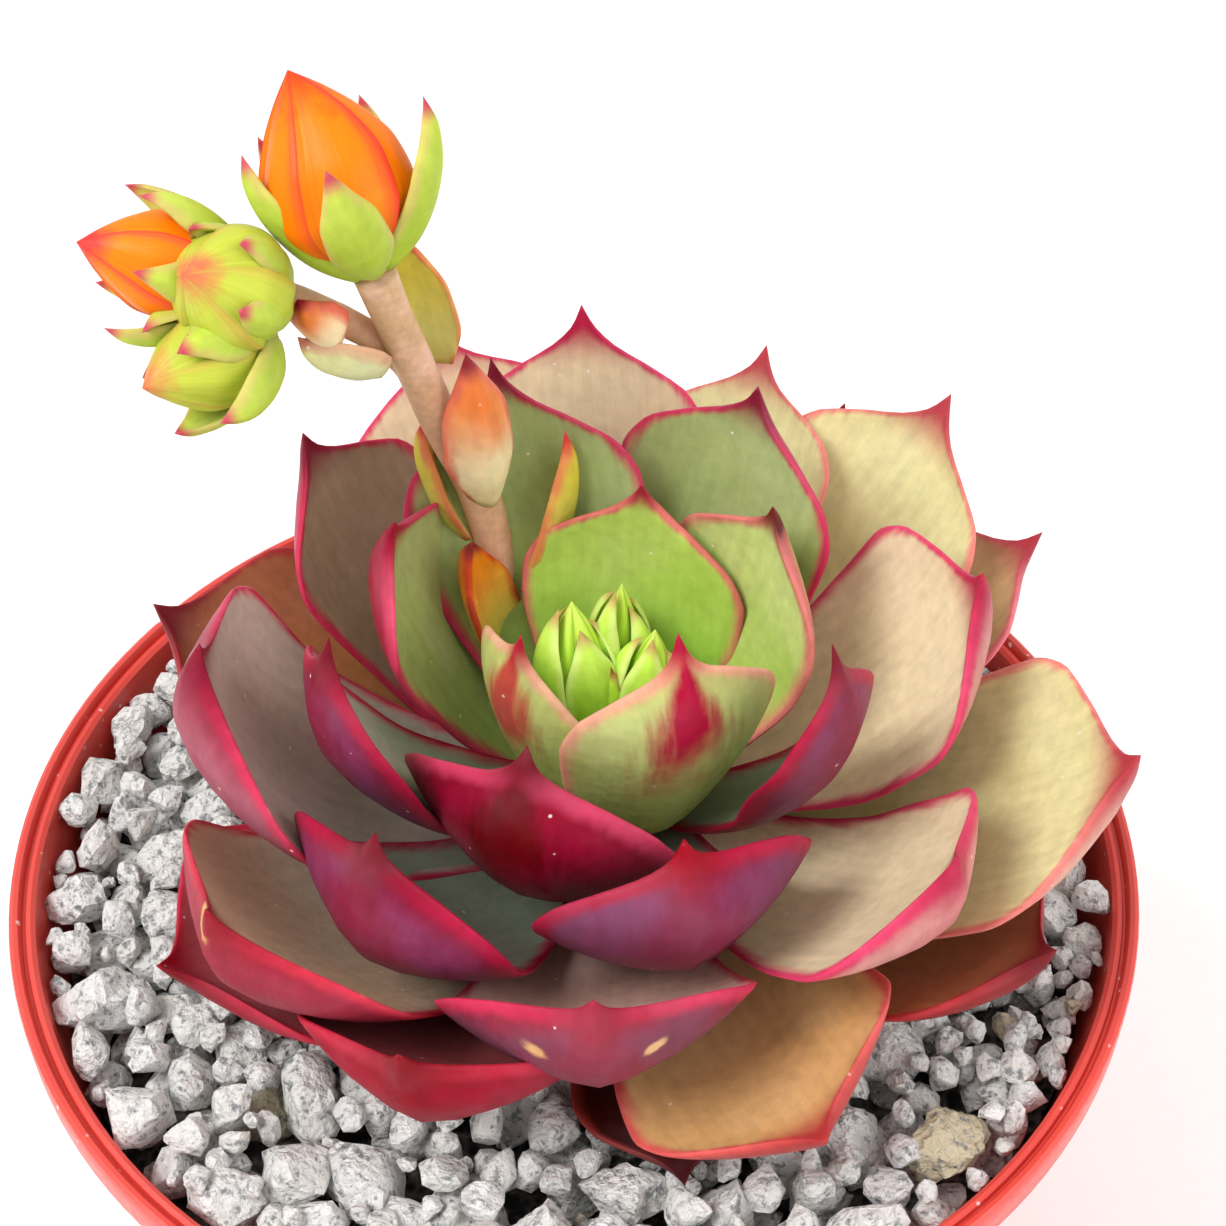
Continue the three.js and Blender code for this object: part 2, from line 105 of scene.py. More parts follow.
# ---- the rosette, in millimetres and degrees -----------------------------------------------
# The crown is the low cone of stem that the leaves stand on, tilted to the front.
CROWN_CENTRE = (4, 1.8, 85.5)
CROWN_TILT = 11
CROWN_HEIGHT = 9
CROWN_INNER_RADIUS = 4
CROWN_OUTER_RADIUS = 5.5
STEM_BOTTOM = 70.5
STEM_RADII = (4.4, 4.6, 2.5)
SPIRAL_START = 87
SPIRAL_STEP = -137.5
# The innermost leaves are broadest nearer to their base, each less so than the one before.
INNER_TAPER = 0.7
INNER_LEAVES = 10

# One row a leaf, the innermost first: turn away from the spiral, pitch at the base, pitch at the tip,
# length, width, roll about its own spine, and the name of its colours.
LEAVES = (
    (-5, 48, 90, 26.5, 20, -10, "heart"),
    (-10, 65, 99, 34, 18.6, -8, "blushed"),
    (29, 70, 92, 26.8, 16, 18, "bud_leaf"),
    (0, 46, 92, 31, 18.5, 2, "fresh"),
    (-12, 30, 106, 34.5, 24, 2, "crimson"),
    (-4, 40, 72, 37.5, 21, -18, "sage"),
    (-13, 34, 104, 41, 12.5, -10, "plum"),
    (-1, 26, 100, 44.5, 15.5, 9, "plum"),
    (-7, 38, 80, 37, 22, -10, "sage"),
    (-7, 14, 104, 37, 23, 4, "plum_spot"),
    (2, 24, 96, 34, 18, 14, "ruby"),
    (-6, 14, 80, 39, 24, -2, "sand"),
    (-7, 2, 104, 44, 22, 4, "plum"),
    (-4, 20, 62, 41, 22, -16, "sand"),
    (-4, 10, 82, 44, 21.5, 2, "sand"),
    (7, 8, 94, 48.5, 26, 1, "mauve"),
    (-2, 2, 55, 44.5, 24, -6, "straw"),
    (-3, 4, 86, 42.5, 25, 6, "mauve_scar"),
    (9, 5, 74, 42, 21, 15, "olive_dark"),
    (-10, 6, 66, 48, 26.5, 1, "straw"),
    (2, 0, 78, 48, 26, 8, "rust"),
    (-9, 10, 42, 41.5, 23, -24, "straw"),
    (-10, 3, 47, 41, 24, 14, "olive"),
    (4, 11, 50, 42, 25, 0, "brown"),
    (1, 10, 32, 41.5, 24, -24, "tan"),
    (-5, -6, 80, 45, 24, 14, "wine"),
    (2, 12, 52, 45, 24, 0, "sand"),
    (-7, -6, 58, 42, 22, -10, "brown"),
    (14, 0, 44, 42, 25, 2, "wine"),
    (0, 2, 42, 41, 24, 0, "brown"),
    # the lowest leaf: its colours are painted shade
    (-4, -3, 26, 33, 16, 0, "wine_in_painted_shade"),
)

# Along a leaf, base to tip: place on the spine, share of the half width, share of the thickness.
LEAF_STATIONS = (
    (0, 0.42, 0.75), (0.2, 0.56, 0.9), (0.42, 0.8, 1), (0.6, 0.96, 1), (0.72, 1, 0.95),
    (0.8, 0.88, 0.82), (0.86, 0.58, 0.65), (0.91, 0.25, 0.45), (0.95, 0.09, 0.28), (1, 0, 0),
)
# The same along a bract, a sepal or a leaflet.
BLADE_STATIONS = (
    (0, 0.5, 0.8), (0.3, 0.95, 1), (0.58, 0.88, 0.9), (0.84, 0.4, 0.6), (1, 0, 0),
)
# Along a closed bud, base to tip: place on the axis, share of the radius.
BUD_STATIONS = (
    (0, 0.2), (0.03, 0.45), (0.12, 0.78), (0.3, 1), (0.5, 0.94), (0.7, 0.68), (0.86, 0.36), (1, 0),
)
# The edge of a blade: its greatest thickness, and its share of the blade's.
EDGE_THICKNESS = 0.7
EDGE_SHARE = 0.6
# How sharply a leaf's edge turns, and how its rows of faces crowd to the tip.
LEAF_EDGE_TURN = 5
LEAF_CROWDING = 0.8
# The same of a small blade, with its keel and its margins' wave between them, and its cup.
SMALL_BLADE = (4, 0.25, 0.15, 0.85)
SMALL_BLADE_CUP = 0.35
# The keel's width as a share of the half width, and the steps in which a spine is worked out.
KEEL_WIDTH = 0.3
SPINE_STEPS = 240

# ---- the flower stalk ----------------------------------------------------------------------
STALK = (
    (1, 5.5, 90), (-2.8, 8.6, 96), (-5.2, 11.2, 101), (-8, 13.5, 114.5),
    (-11.5, 11.5, 127), (-13.8, 8.8, 138), (-14.6, 7.4, 142.6),
)
STALK_RADII = (1.9, 1.9, 1.9, 1.8, 1.7, 1.6, 1.7)
BRANCH = (
    (-11.9, 11, 129), (-14.2, 10.4, 133), (-17.2, 9.3, 136.4), (-20.2, 7.6, 139.4), (-22.2, 6.6, 141),
)
BRANCH_RADII = (1.2, 1.2, 1.2, 1.3, 1.5)
PEDICEL_RADIUS = 1.1
RECEPTACLE_RADIUS = 2
RECEPTACLE_HEIGHT = 1.4

# Bracts: number, base, tip, the way the inner face looks, width, thickness, bend, colours.
BRACTS = (
    (1, (-5.2, 8.4, 99.5), (-8.4, 7.4, 115), (0.5, -0.5, 1), 6.2, 2.6, 20, "bract_flame"),
    (2, (-4.4, 11.4, 106), (-0.6, 14.3, 121.4), (-1, 0.2, 0.3), 4.5, 2, 20, "bract_gold"),
    (3, (-9, 13, 111), (-12.4, 13.4, 123.3), (1, 0, 0.4), 4.5, 1.8, 20, "bract_gold"),
    (4, (-7.5, 11.6, 117), (-8.3, 10.6, 132.4), (-0.4, 0.8, 0.2), 6.6, 2.4, 25, "bract_coral"),
    (5, (-11, 13, 129.5), (-13.2, 14.6, 140.6), (-0.3, -1, 0.5), 6.5, 2.2, 25, "bract_gold"),
    (6, (-14.9, 9.2, 133), (-20.6, 5.2, 138.2), (0, 0.5, 1), 5.6, 2, 15, "bract_cream"),
    (7, (-18, 6.9, 137.4), (-20.2, 4.8, 142), (0, 1, 0.2), 4.6, 1.8, 15, "bract_coral"),
)

# Buds: number, base, tip, radius, the sepals' length, width and angles out, first turn, petal colours.
BUDS = (
    (1, (-14.8, 7.6, 143.2), (-20.2, 12.6, 156.8), 5.5, 11.5, 5.2, (14, 16, 8, 34, 24), 200, "petal_orange"),
    (2, (-25, 6.6, 142.2), (-35.6, 3.9, 147.8), 4, 9.5, 4, (14, 12, 24, 20, 16), 20, "petal_sunset"),
    (3, (-22.6, 5.6, 141.6), (-27.2, -0.8, 148.2), 4.6, 8, 5, (4, 4, 5, 4, 4), 60, "petal_green"),
    (4, (-23.2, 4.2, 138.8), (-30.8, -3.6, 140.2), 3.7, 9, 5.2, (20, 4, 6, 2, 12), 350, "petal_green"),
)
SEPALS = 5
SEPAL_THICKNESS = 1.3
SEPAL_BEND = 55
PETALS_TO_A_BUD = 5

# The young flower head deep in the rosette.
YOUNG_STALK = ((4, 2.6, 94), (3.4, 1.8, 97.8))
YOUNG_STALK_RADIUS = 2.2
# Young buds: number, base, tip, radius over the leaflets, of which the petals have a share.
YOUNG_BUDS = (
    (1, (1.2, 0.8, 98.6), (0, 2.4, 112.8), 3.4),
    (2, (4.2, 4.6, 99), (4.2, 4.4, 113), 2.1),
    (3, (5.9, 0.9, 98.8), (7, 1.1, 110.8), 2.7),
)
YOUNG_PETAL_SHARE = 0.82
LEAFLETS = 4
LEAFLET_THICKNESS = 0.8
LEAFLET_BEND = 62
# Base, tip, the way the inner face looks, width, thickness, bend.
YOUNG_BRACT = ((3.3, -1, 99), (3.2, 0.2, 107.4), (0, 1, 0.3), 3.6, 1.4, 10)

# ---- the stage, in metres --------------------------------------------------------------------
FLOOR_SIZE = 60
# Lamps: name, width, place. They look at one point.
LAMPS = (
    ("key", 0.3, (-0.32, -0.20, 0.60)),
    ("fill", 0.5, (0.45, -0.25, 0.4)),
)
LAMP_AIM = (0, 0, 0.09)

# ---- colours, sRGB hex ----------------------------------------------------------------------
# Leaf colours: inner face at the base and at the tip, back at the base and at the tip, the streak on
# the back's midrib, margin, cusp. Then the margin's width in millimetres, the strength of the back's
# blush towards its margin and of its streak, and the spots on the back, each with its place across
# and along the leaf in millimetres, its radius and its colour.
FOLIAGE = {
    "heart": ("98bc48 b4ca60 b5c46a a8b85e b8c060 cc6c64 a02034", 0.6, 0.1, 0.0, ()),
    "bud_leaf": ("a9c862 b4c873 b4d678 b8c474 bc2834 d8a484 a82034", 0.4, 0.15, 0.9, ()),
    "blushed": ("a9c060 b8c070 b4d67c bcc478 a80c34 dc9c80 a81034", 0.5, 0.2, 1.0, ()),
    "fresh": ("a2b957 c2cc80 b3bf70 c0a06c a84040 c87068 681c1c", 1.0, 0.4, 0.2,
              ((1.0, 29.0, 1.8, "5c2018"),)),
    "crimson": ("8c7a58 a06a5c 902048 880428 600008 b83454 680014", 1.0, 0.4, 1.0, ()),
    "sage": ("84984c a0ac70 a89a6c b0606a a03a50 b83050 7c1830", 0.8, 0.6, 0.3, ()),
    "plum": ("86907c 9c9888 68406c 7c2c50 7c001c a01438 6c0018", 0.8, 0.8, 0.6, ()),
    "plum_spot": ("86907c 9c9888 684470 783458 80001c a01438 900018", 0.8, 0.7, 0.5,
                  ((2.5, 24, 1.9, "540824"),)),
    "ruby": ("9cb064 a4ac6c a8806a a02840 94082c c83c5c 940c2c", 1.0, 0.9, 0.6, ()),
    "sand": ("d6c39c dfcba6 b58c84 c88a84 b83c54 cc3c60 a82040", 0.8, 0.6, 0.3, ()),
    "olive_dark": ("786848 a08870 98485c a04860 901c38 bc2c4c 741028", 0.8, 0.7, 0.5, ()),
    "mauve": ("a49c8c bca498 944860 984858 901c38 bc2c4c 7c0c28", 0.6, 0.6, 0.5, ()),
    "mauve_scar": ("b8988a d8a898 703850 743c50 901028 bc2c4c 941830", 0.7, 0.7, 0.5,
                   ((-4.6, 35.4, 0.7, "cfa068"), (4.4, 35.4, 0.6, "d8ac78"))),
    "straw": ("b8ac70 d6d098 c0a070 c8907c c87c70 d87870 a83840", 0.6, 0.6, 0.2, ()),
    "rust": ("b4a894 c8a888 8c4858 982c40 8c102c bc2c40 8c1828", 0.6, 0.7, 0.5,
             ((-1.0, 44.8, 0.9, "d8a25c"),)),
    "olive": ("b8986a d0a268 a8605c b85850 a83c3c cc5450 a83434", 0.8, 0.7, 0.3, ()),
    "brown": ("9c6a3c a86844 8c3c34 982c2c 841c20 a83034 6c1018", 0.7, 0.7, 0.4, ()),
    "tan": ("906c38 c6a474 a8605c b06860 b04c50 d86c74 982c38", 0.9, 0.7, 0.3, ()),
    "wine": ("8c4a44 a44c50 90142c 980c28 80041a b02038 7c0818", 0.8, 0.8, 0.6, ()),
    # the lowest leaf, tucked under the others: its wine colours darkened nearly to black as painted shade
    "wine_in_painted_shade": ("300a02 40100a 480c08 702020 500c08 802c28 440808", 0.6, 0.5, 0.4, ()),
    "bract_flame": ("e0c458 e88018 dcc868 e07c10 d03c10 c44020 7c1018", 0.3, 0.12, 0.2, ()),
    "bract_gold": ("d0cc74 d8cc4c c8c860 d0c444 dcb030 d88050 c02c2c", 0.15, 0.08, 0.05, ()),
    "bract_coral": ("eedcb0 e49050 eedcb0 e07c34 d86428 d86850 841020", 0.3, 0.12, 0.3, ()),
    "bract_cream": ("dcdcac e0d8a0 d8dcac dcdc9c dcd898 d8a888 c07060", 0.25, 0.1, 0.1, ()),
    "sepal": ("acbc44 b8c850 a4b83c b0c248 b4c448 bcb45c b04050", 0.15, 0.03, 0.05, ()),
    "leaflet": ("98c43c b4dc50 a8d044 c4e458 b0d848 dcec84 b89454", 0.3, 0.1, 0.1, ()),
    "young": ("a8cc34 c8e850 a4d030 c8e850 b8d848 c8a05c a03c38", 0.25, 0.2, 0.3, ()),
}

# How much light passes under the skin of a leaf, and of a bract, a sepal or a leaflet.
LEAF_GLOW = 0.08
THIN_GLOW = 0.2

# Petal colours: base, belly, tip, the edge that laps over the next petal.
PETALS = {
    "petal_orange": "e88c08 f27604 ec4410 e02c28",
    "petal_sunset": "e8cc30 f47808 e83a34 e03038",
    "petal_green": "98ac30 b4bc40 cc584c b89c44",
    "petal_young": "98c82c c8ea50 d4ea6c 7cac20",
}


# ---- small helpers --------------------------------------------------------------------------
def colour(code):
    """An sRGB hex colour as linear RGBA."""
    parts = [int(code[index:index + 2], 16) / 255 for index in (0, 2, 4)]
    linear = [part / 12.92 if part <= 0.04045 else ((part + 0.055) / 1.055) ** 2.4 for part in parts]
    return (*linear, 1.0)


def smoothstep(low, high, value):
    share = np.clip((value - low) / (high - low), 0, 1)
    return share * share * (3 - 2 * share)


def curve_through(stations, places):
    """A smooth curve through (place, value) stations that never swings past them."""
    at = np.array([row[0] for row in stations], float)
    value = np.array([row[1] for row in stations], float)
    slope = np.diff(value) / np.diff(at)
    tangent = np.zeros(len(at))
    same_way = slope[:-1] * slope[1:] > 0
    total = np.where(same_way, slope[:-1] + slope[1:], 1)
    tangent[1:-1] = np.where(same_way, 2 * slope[:-1] * slope[1:] / total, 0)
    tangent[0] = slope[0]
    tangent[-1] = slope[-1]
    index = np.clip(np.searchsorted(at, places, side="right") - 1, 0, len(at) - 2)
    span = at[index + 1] - at[index]
    t = (places - at[index]) / span
    rise = value[index + 1] - value[index]
    start = tangent[index] * span
    end = tangent[index + 1] * span
    curved = (3 * rise - 2 * start - end) * t ** 2 + (start + end - 2 * rise) * t ** 3
    return value[index] + start * t + curved


def unit(vector):
    vector = np.asarray(vector, float)
    return vector / np.linalg.norm(vector)


def deselect():
    if bpy.context.mode != "OBJECT":
        bpy.ops.object.mode_set(mode="OBJECT")
    bpy.ops.object.select_all(action="DESELECT")


def select_only(*objects):
    deselect()
    for obj in objects:
        obj.select_set(True)
    bpy.context.view_layer.objects.active = objects[0]


def join(objects, name):
    """Several objects as one."""
    select_only(*objects)
    if len(objects) > 1:
        bpy.ops.object.join()
    joined = bpy.context.object
    joined.name = name
    return joined


def close_up(obj, angle=None):
    """Merges doubled points at the poles, turns all faces outwards and smooths the shading."""
    select_only(obj)
    bpy.ops.object.mode_set(mode="EDIT")
    bpy.ops.mesh.select_all(action="SELECT")
    bpy.ops.mesh.remove_doubles(threshold=0.012 * MM)
    bpy.ops.mesh.normals_make_consistent(inside=False)
    bpy.ops.object.mode_set(mode="OBJECT")
    if angle is None:
        bpy.ops.object.shade_smooth()
    else:
        bpy.ops.object.shade_smooth_by_angle(angle=math.radians(angle))
    return obj


def settle(obj, material, slot, *nodes):
    """Gives a finished piece its material and hides the CAD nodes that it stands for; its slot is not used.
    """
    obj.data.materials.clear()
    obj.data.materials.append(material)
    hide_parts(*nodes)
    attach(obj, "root")


# ---- blanks that blades, rods and buds are shaped from ---------------------------------------
def ring_blank(sides, rows):
    """A capped tube of unit radius and length, with rows of faces along it."""
    deselect()
    bpy.ops.mesh.primitive_cylinder_add(vertices=sides, radius=1, depth=1, end_fill_type="TRIFAN")
    blank = bpy.context.object
    bpy.ops.object.mode_set(mode="EDIT")
    bpy.ops.mesh.select_mode(type="EDGE")
    bpy.ops.mesh.select_all(action="DESELECT")
    shape = bmesh.from_edit_mesh(blank.data)
    for edge in shape.edges:
        edge.select_set(abs(edge.verts[0].co.z - edge.verts[1].co.z) > 0.5)
    bmesh.update_edit_mesh(blank.data)
    bpy.ops.mesh.subdivide(number_cuts=rows - 1)
    bpy.ops.mesh.select_mode(type="VERT")
    bpy.ops.object.mode_set(mode="OBJECT")
    return blank


def shaped(blank, name, shape):
    """A copy of a blank with its own mesh, whose points `shape` places from angle, place and reach."""
    obj = bpy.data.objects.new(name, blank.data.copy())
    bpy.context.collection.objects.link(obj)
    mesh = obj.data
    flat = np.empty(len(mesh.vertices) * 3)
    mesh.vertices.foreach_get("co", flat)
    points = flat.reshape(-1, 3)
    angle = np.arctan2(points[:, 1], points[:, 0]) % (2 * math.pi)
    place = np.clip(points[:, 2] + 0.5, 0, 1)
    reach = np.hypot(points[:, 0], points[:, 1]).round()
    placed, attributes = shape(angle, place, reach)
    mesh.vertices.foreach_set("co", (placed * MM).ravel())
    for key, values in attributes.items():
        layer = mesh.attributes.new(key, "FLOAT_VECTOR", "POINT")
        layer.data.foreach_set("vector", np.ascontiguousarray(values, float).ravel())
    mesh.update()
    return close_up(obj)


def remove(*objects):
    deselect()
    for obj in objects:
        obj.select_set(True)
    bpy.ops.object.delete()


def wobble(values, seed):
    """Slow smooth noise along a line of values, -1 to 1."""
    return np.array([noise.noise(Vector((value, seed * 7.31, 0.5))) for value in values])


def fractal(point, roughness=1.0):
    """Lumps on lumps, in three sizes that halve."""
    return noise.fractal(point, roughness, 2.0, 3)


def bent_spine(base, along, inner, length, pitch, bend, place):
    """Places on a spine that rises by its pitch and bends evenly to its inner side, and its face there."""
    fine = np.linspace(0, 1, SPINE_STEPS + 1)
    heading = np.radians(pitch + bend * fine)
    forward = np.concatenate(([0], np.cumsum((np.cos(heading[1:]) + np.cos(heading[:-1])) / 2)))
    upward = np.concatenate(([0], np.cumsum((np.sin(heading[1:]) + np.sin(heading[:-1])) / 2)))
    step = length / SPINE_STEPS
    spine = np.asarray(base, float) + np.outer(np.interp(place, fine, forward) * step, along)
    spine += np.outer(np.interp(place, fine, upward) * step, inner)
    turned = np.radians(pitch + bend * place)
    return spine, np.outer(-np.sin(turned), along) + np.outer(np.cos(turned), inner)


def blade_shape(base, along, inner, length, pitch, bend, width, thick, cup, roll, stations, look):
    """A shape for `shaped`: a leaf-like blade whose spine bends towards its inner face.

    Its look is how sharply its edge turns, its keel, its margins' wave, its rows' crowding to the tip
    and the seed of the wave.
    """
    side = np.cross(inner, along)
    edge_rounding, keel, wave, crowding, seed = look

    def shape(angle, place, reach):
        place = place ** crowding
        spine, face = bent_spine(base, along, inner, length, pitch, bend, place)
        # the blade turns about its spine from its base up
        twist = (np.radians(roll) * smoothstep(0, 0.6, place))[:, None]
        across_way = side * np.cos(twist) + face * np.sin(twist)
        normal = face * np.cos(twist) - side * np.sin(twist)
        # the blank's upper half becomes the inner face, its lower half the back
        upper = angle <= math.pi
        run = np.where(upper, 1 - 2 * angle / math.pi, 2 * angle / math.pi - 3)
        across = np.sin(run * math.pi / 2) * reach
        fullness = np.clip(1 - np.abs(across) ** edge_rounding, 0, 1) ** (1 / edge_rounding)
        fullness = np.where(upper, fullness, -fullness) * reach
        half = width / 2 * curve_through([(row[0], row[1]) for row in stations], place)
        body = thick * curve_through([(row[0], row[2]) for row in stations], place)
        edge = np.minimum(EDGE_THICKNESS, body * EDGE_SHARE)
        # the margins rise, and the back has a keel towards the tip
        rise = cup * half * across ** 2
        ridge = 1 + keel * smoothstep(0.3, 0.9, place) * np.exp(-(across / KEEL_WIDTH) ** 2)
        depth = edge + (body - edge) * (1 - np.abs(across) ** 1.8) * ridge
        offset = rise - edge / 2 + np.where(fullness > 0, edge / 2, depth - edge / 2) * fullness
        sway = wobble(place * 5 + np.sign(across) * 3, seed) * np.abs(across) ** 3
        offset += wave * sway * smoothstep(0.1, 0.5, place) * smoothstep(1, 0.85, place)
        points = spine + across_way * (across * half)[:, None] + normal * offset[:, None]
        inner_share = 0.5 + 0.5 * fullness
        margin = half * (1 - np.abs(across))
        return points, {
            "blade": np.stack([across, place, inner_share], 1),
            "blade_mm": np.stack([across * half, place * length, margin], 1),
        }

    return shape


def blade_between(base, tip, look_way, width, thick, bend, look):
    """A bract or a sepal given by its base, its tip and the way its inner face looks."""
    base = np.asarray(base, float)
    chord = np.asarray(tip, float) - base
    forward = unit(chord)
    look_way = np.asarray(look_way, float)
    inner = unit(look_way - forward * (look_way @ forward))
    length = np.linalg.norm(chord) * (1 + math.radians(bend) ** 2 / 24)
    return blade_shape(base, forward, inner, length, -bend / 2, bend, width, thick, SMALL_BLADE_CUP, 0,
                       BLADE_STATIONS, look)


def rod_shape(line, radii, bumps=0.0, seed=0):
    """A shape for `shaped`: a round rod on a smooth line through points, with closed flat ends."""
    points = np.asarray(line, float)
    steps = np.concatenate(([0], np.cumsum(np.linalg.norm(np.diff(points, axis=0), axis=1))))
    steps /= steps[-1]

    def on_line(places):
        rows = [list(zip(steps, points[:, axis])) for axis in range(3)]
        return np.stack([curve_through(row, places) for row in rows], 1)

    def shape(angle, place, reach):
        centre = on_line(place)
        ahead = on_line(np.clip(place + 0.01, 0, 1)) - on_line(np.clip(place - 0.01, 0, 1))
        along = ahead / np.linalg.norm(ahead, axis=1)[:, None]
        across_x = abs(unit(points[-1] - points[0])[0]) < 0.8
        reference = np.array((1.0, 0, 0) if across_x else (0, 0, 1.0))
        side = reference - along * (along @ reference)[:, None]
        side /= np.linalg.norm(side, axis=1)[:, None]
        other = np.cross(along, side)
        radius = np.interp(place, steps, radii) * reach
        spots = [Vector((math.cos(a), math.sin(a), p * 9 + seed)) for a, p in zip(angle, place)]
        lump = np.array([noise.noise(spot) for spot in spots])
        radius = radius * (1 + bumps * lump)
        placed = centre + side * (np.cos(angle) * radius)[:, None]
        placed += other * (np.sin(angle) * radius)[:, None]
        return placed, {"rod": np.stack([angle / (2 * math.pi), place, reach], 1)}

    return shape


def bud_shape(base, tip, radius, overlap, keel, twist, start_turn):
    """A shape for `shaped`: a pointed closed bud, each petal lapping over the next."""
    base = np.asarray(base, float)
    axis = np.asarray(tip, float) - base
    along = unit(axis)
    side = unit(np.cross((0, 0, 1), along)) if abs(along[2]) < 0.98 else np.array((1.0, 0, 0))
    other = np.cross(along, side)

    def shape(angle, place, reach):
        place = place ** 0.85
        phase = (angle * PETALS_TO_A_BUD / (2 * math.pi)) % 1
        turned = angle + math.radians(start_turn) + twist * place
        share = curve_through(BUD_STATIONS, place)
        lap = overlap * (phase - 0.5) * smoothstep(0.02, 0.2, place)
        crest = keel * (1 - np.abs(2 * phase - 1)) * smoothstep(0, 0.5, place)
        radii = radius * share * (1 + lap + crest) * reach
        placed = base + np.outer(place, axis)
        placed = placed + np.outer(np.cos(turned) * radii, side) + np.outer(np.sin(turned) * radii, other)
        return placed, {"petal": np.stack([phase, place, reach], 1)}

    return shape


# ---- materials -------------------------------------------------------------------------------
# The sockets that a row of values fills, for a kind of node where they aren't its first ones.
ROW_SOCKETS = {"Mix": (0, 6, 7)}
MIX_COLOUR = 2
SMOOTH = "SMOOTHSTEP"


def add(tree, kind, inputs=(), stops=(), **settings):
    """Adds a node with its settings, a ramp's stops, and its sockets' values or links.

    The inputs are a row of values, or a dictionary where they don't follow one another. A node among
    them is linked by its main output, and a text is a hex colour.
    """
    made = tree.nodes.new("ShaderNode" + kind)
    if kind == "Mix":
        made.data_type = "RGBA"
    for key, value in settings.items():
        setattr(made, key, value)
    if not isinstance(inputs, dict):
        inputs = dict(zip(ROW_SOCKETS.get(kind, range(len(inputs))), inputs))
    for key, value in inputs.items():
        if isinstance(value, bpy.types.Node):
            value = value.outputs[MIX_COLOUR if value.bl_idname == "ShaderNodeMix" else 0]
        if isinstance(value, bpy.types.NodeSocket):
            tree.links.new(value, made.inputs[key])
        else:
            made.inputs[key].default_value = colour(value) if isinstance(value, str) else value
    while stops and len(made.color_ramp.elements) < len(stops):
        made.color_ramp.elements.new(0.5)
    for index, (at, code) in enumerate(stops):
        element = made.color_ramp.elements[index]
        element.position = at
        element.color = colour(code)
    return made


def new_material(name):
    """An empty material, its tree and the place of a point on the object."""
    material = bpy.data.materials.new(name)
    material.use_nodes = True
    tree = material.node_tree
    tree.nodes.clear()
    return material, tree, add(tree, "TexCoord").outputs["Object"]


def surface(tree, look, height=None, relief=0.0, strength=1.0):
    """Ends a tree with a Principled surface of a given look, on which height stands out by relief."""
    if height is not None:
        bump = add(tree, "Bump", {"Height": height, "Distance": relief, "Strength": strength})
        look = look | {"Normal": bump}
    add(tree, "OutputMaterial", {"Surface": add(tree, "BsdfPrincipled", look)})


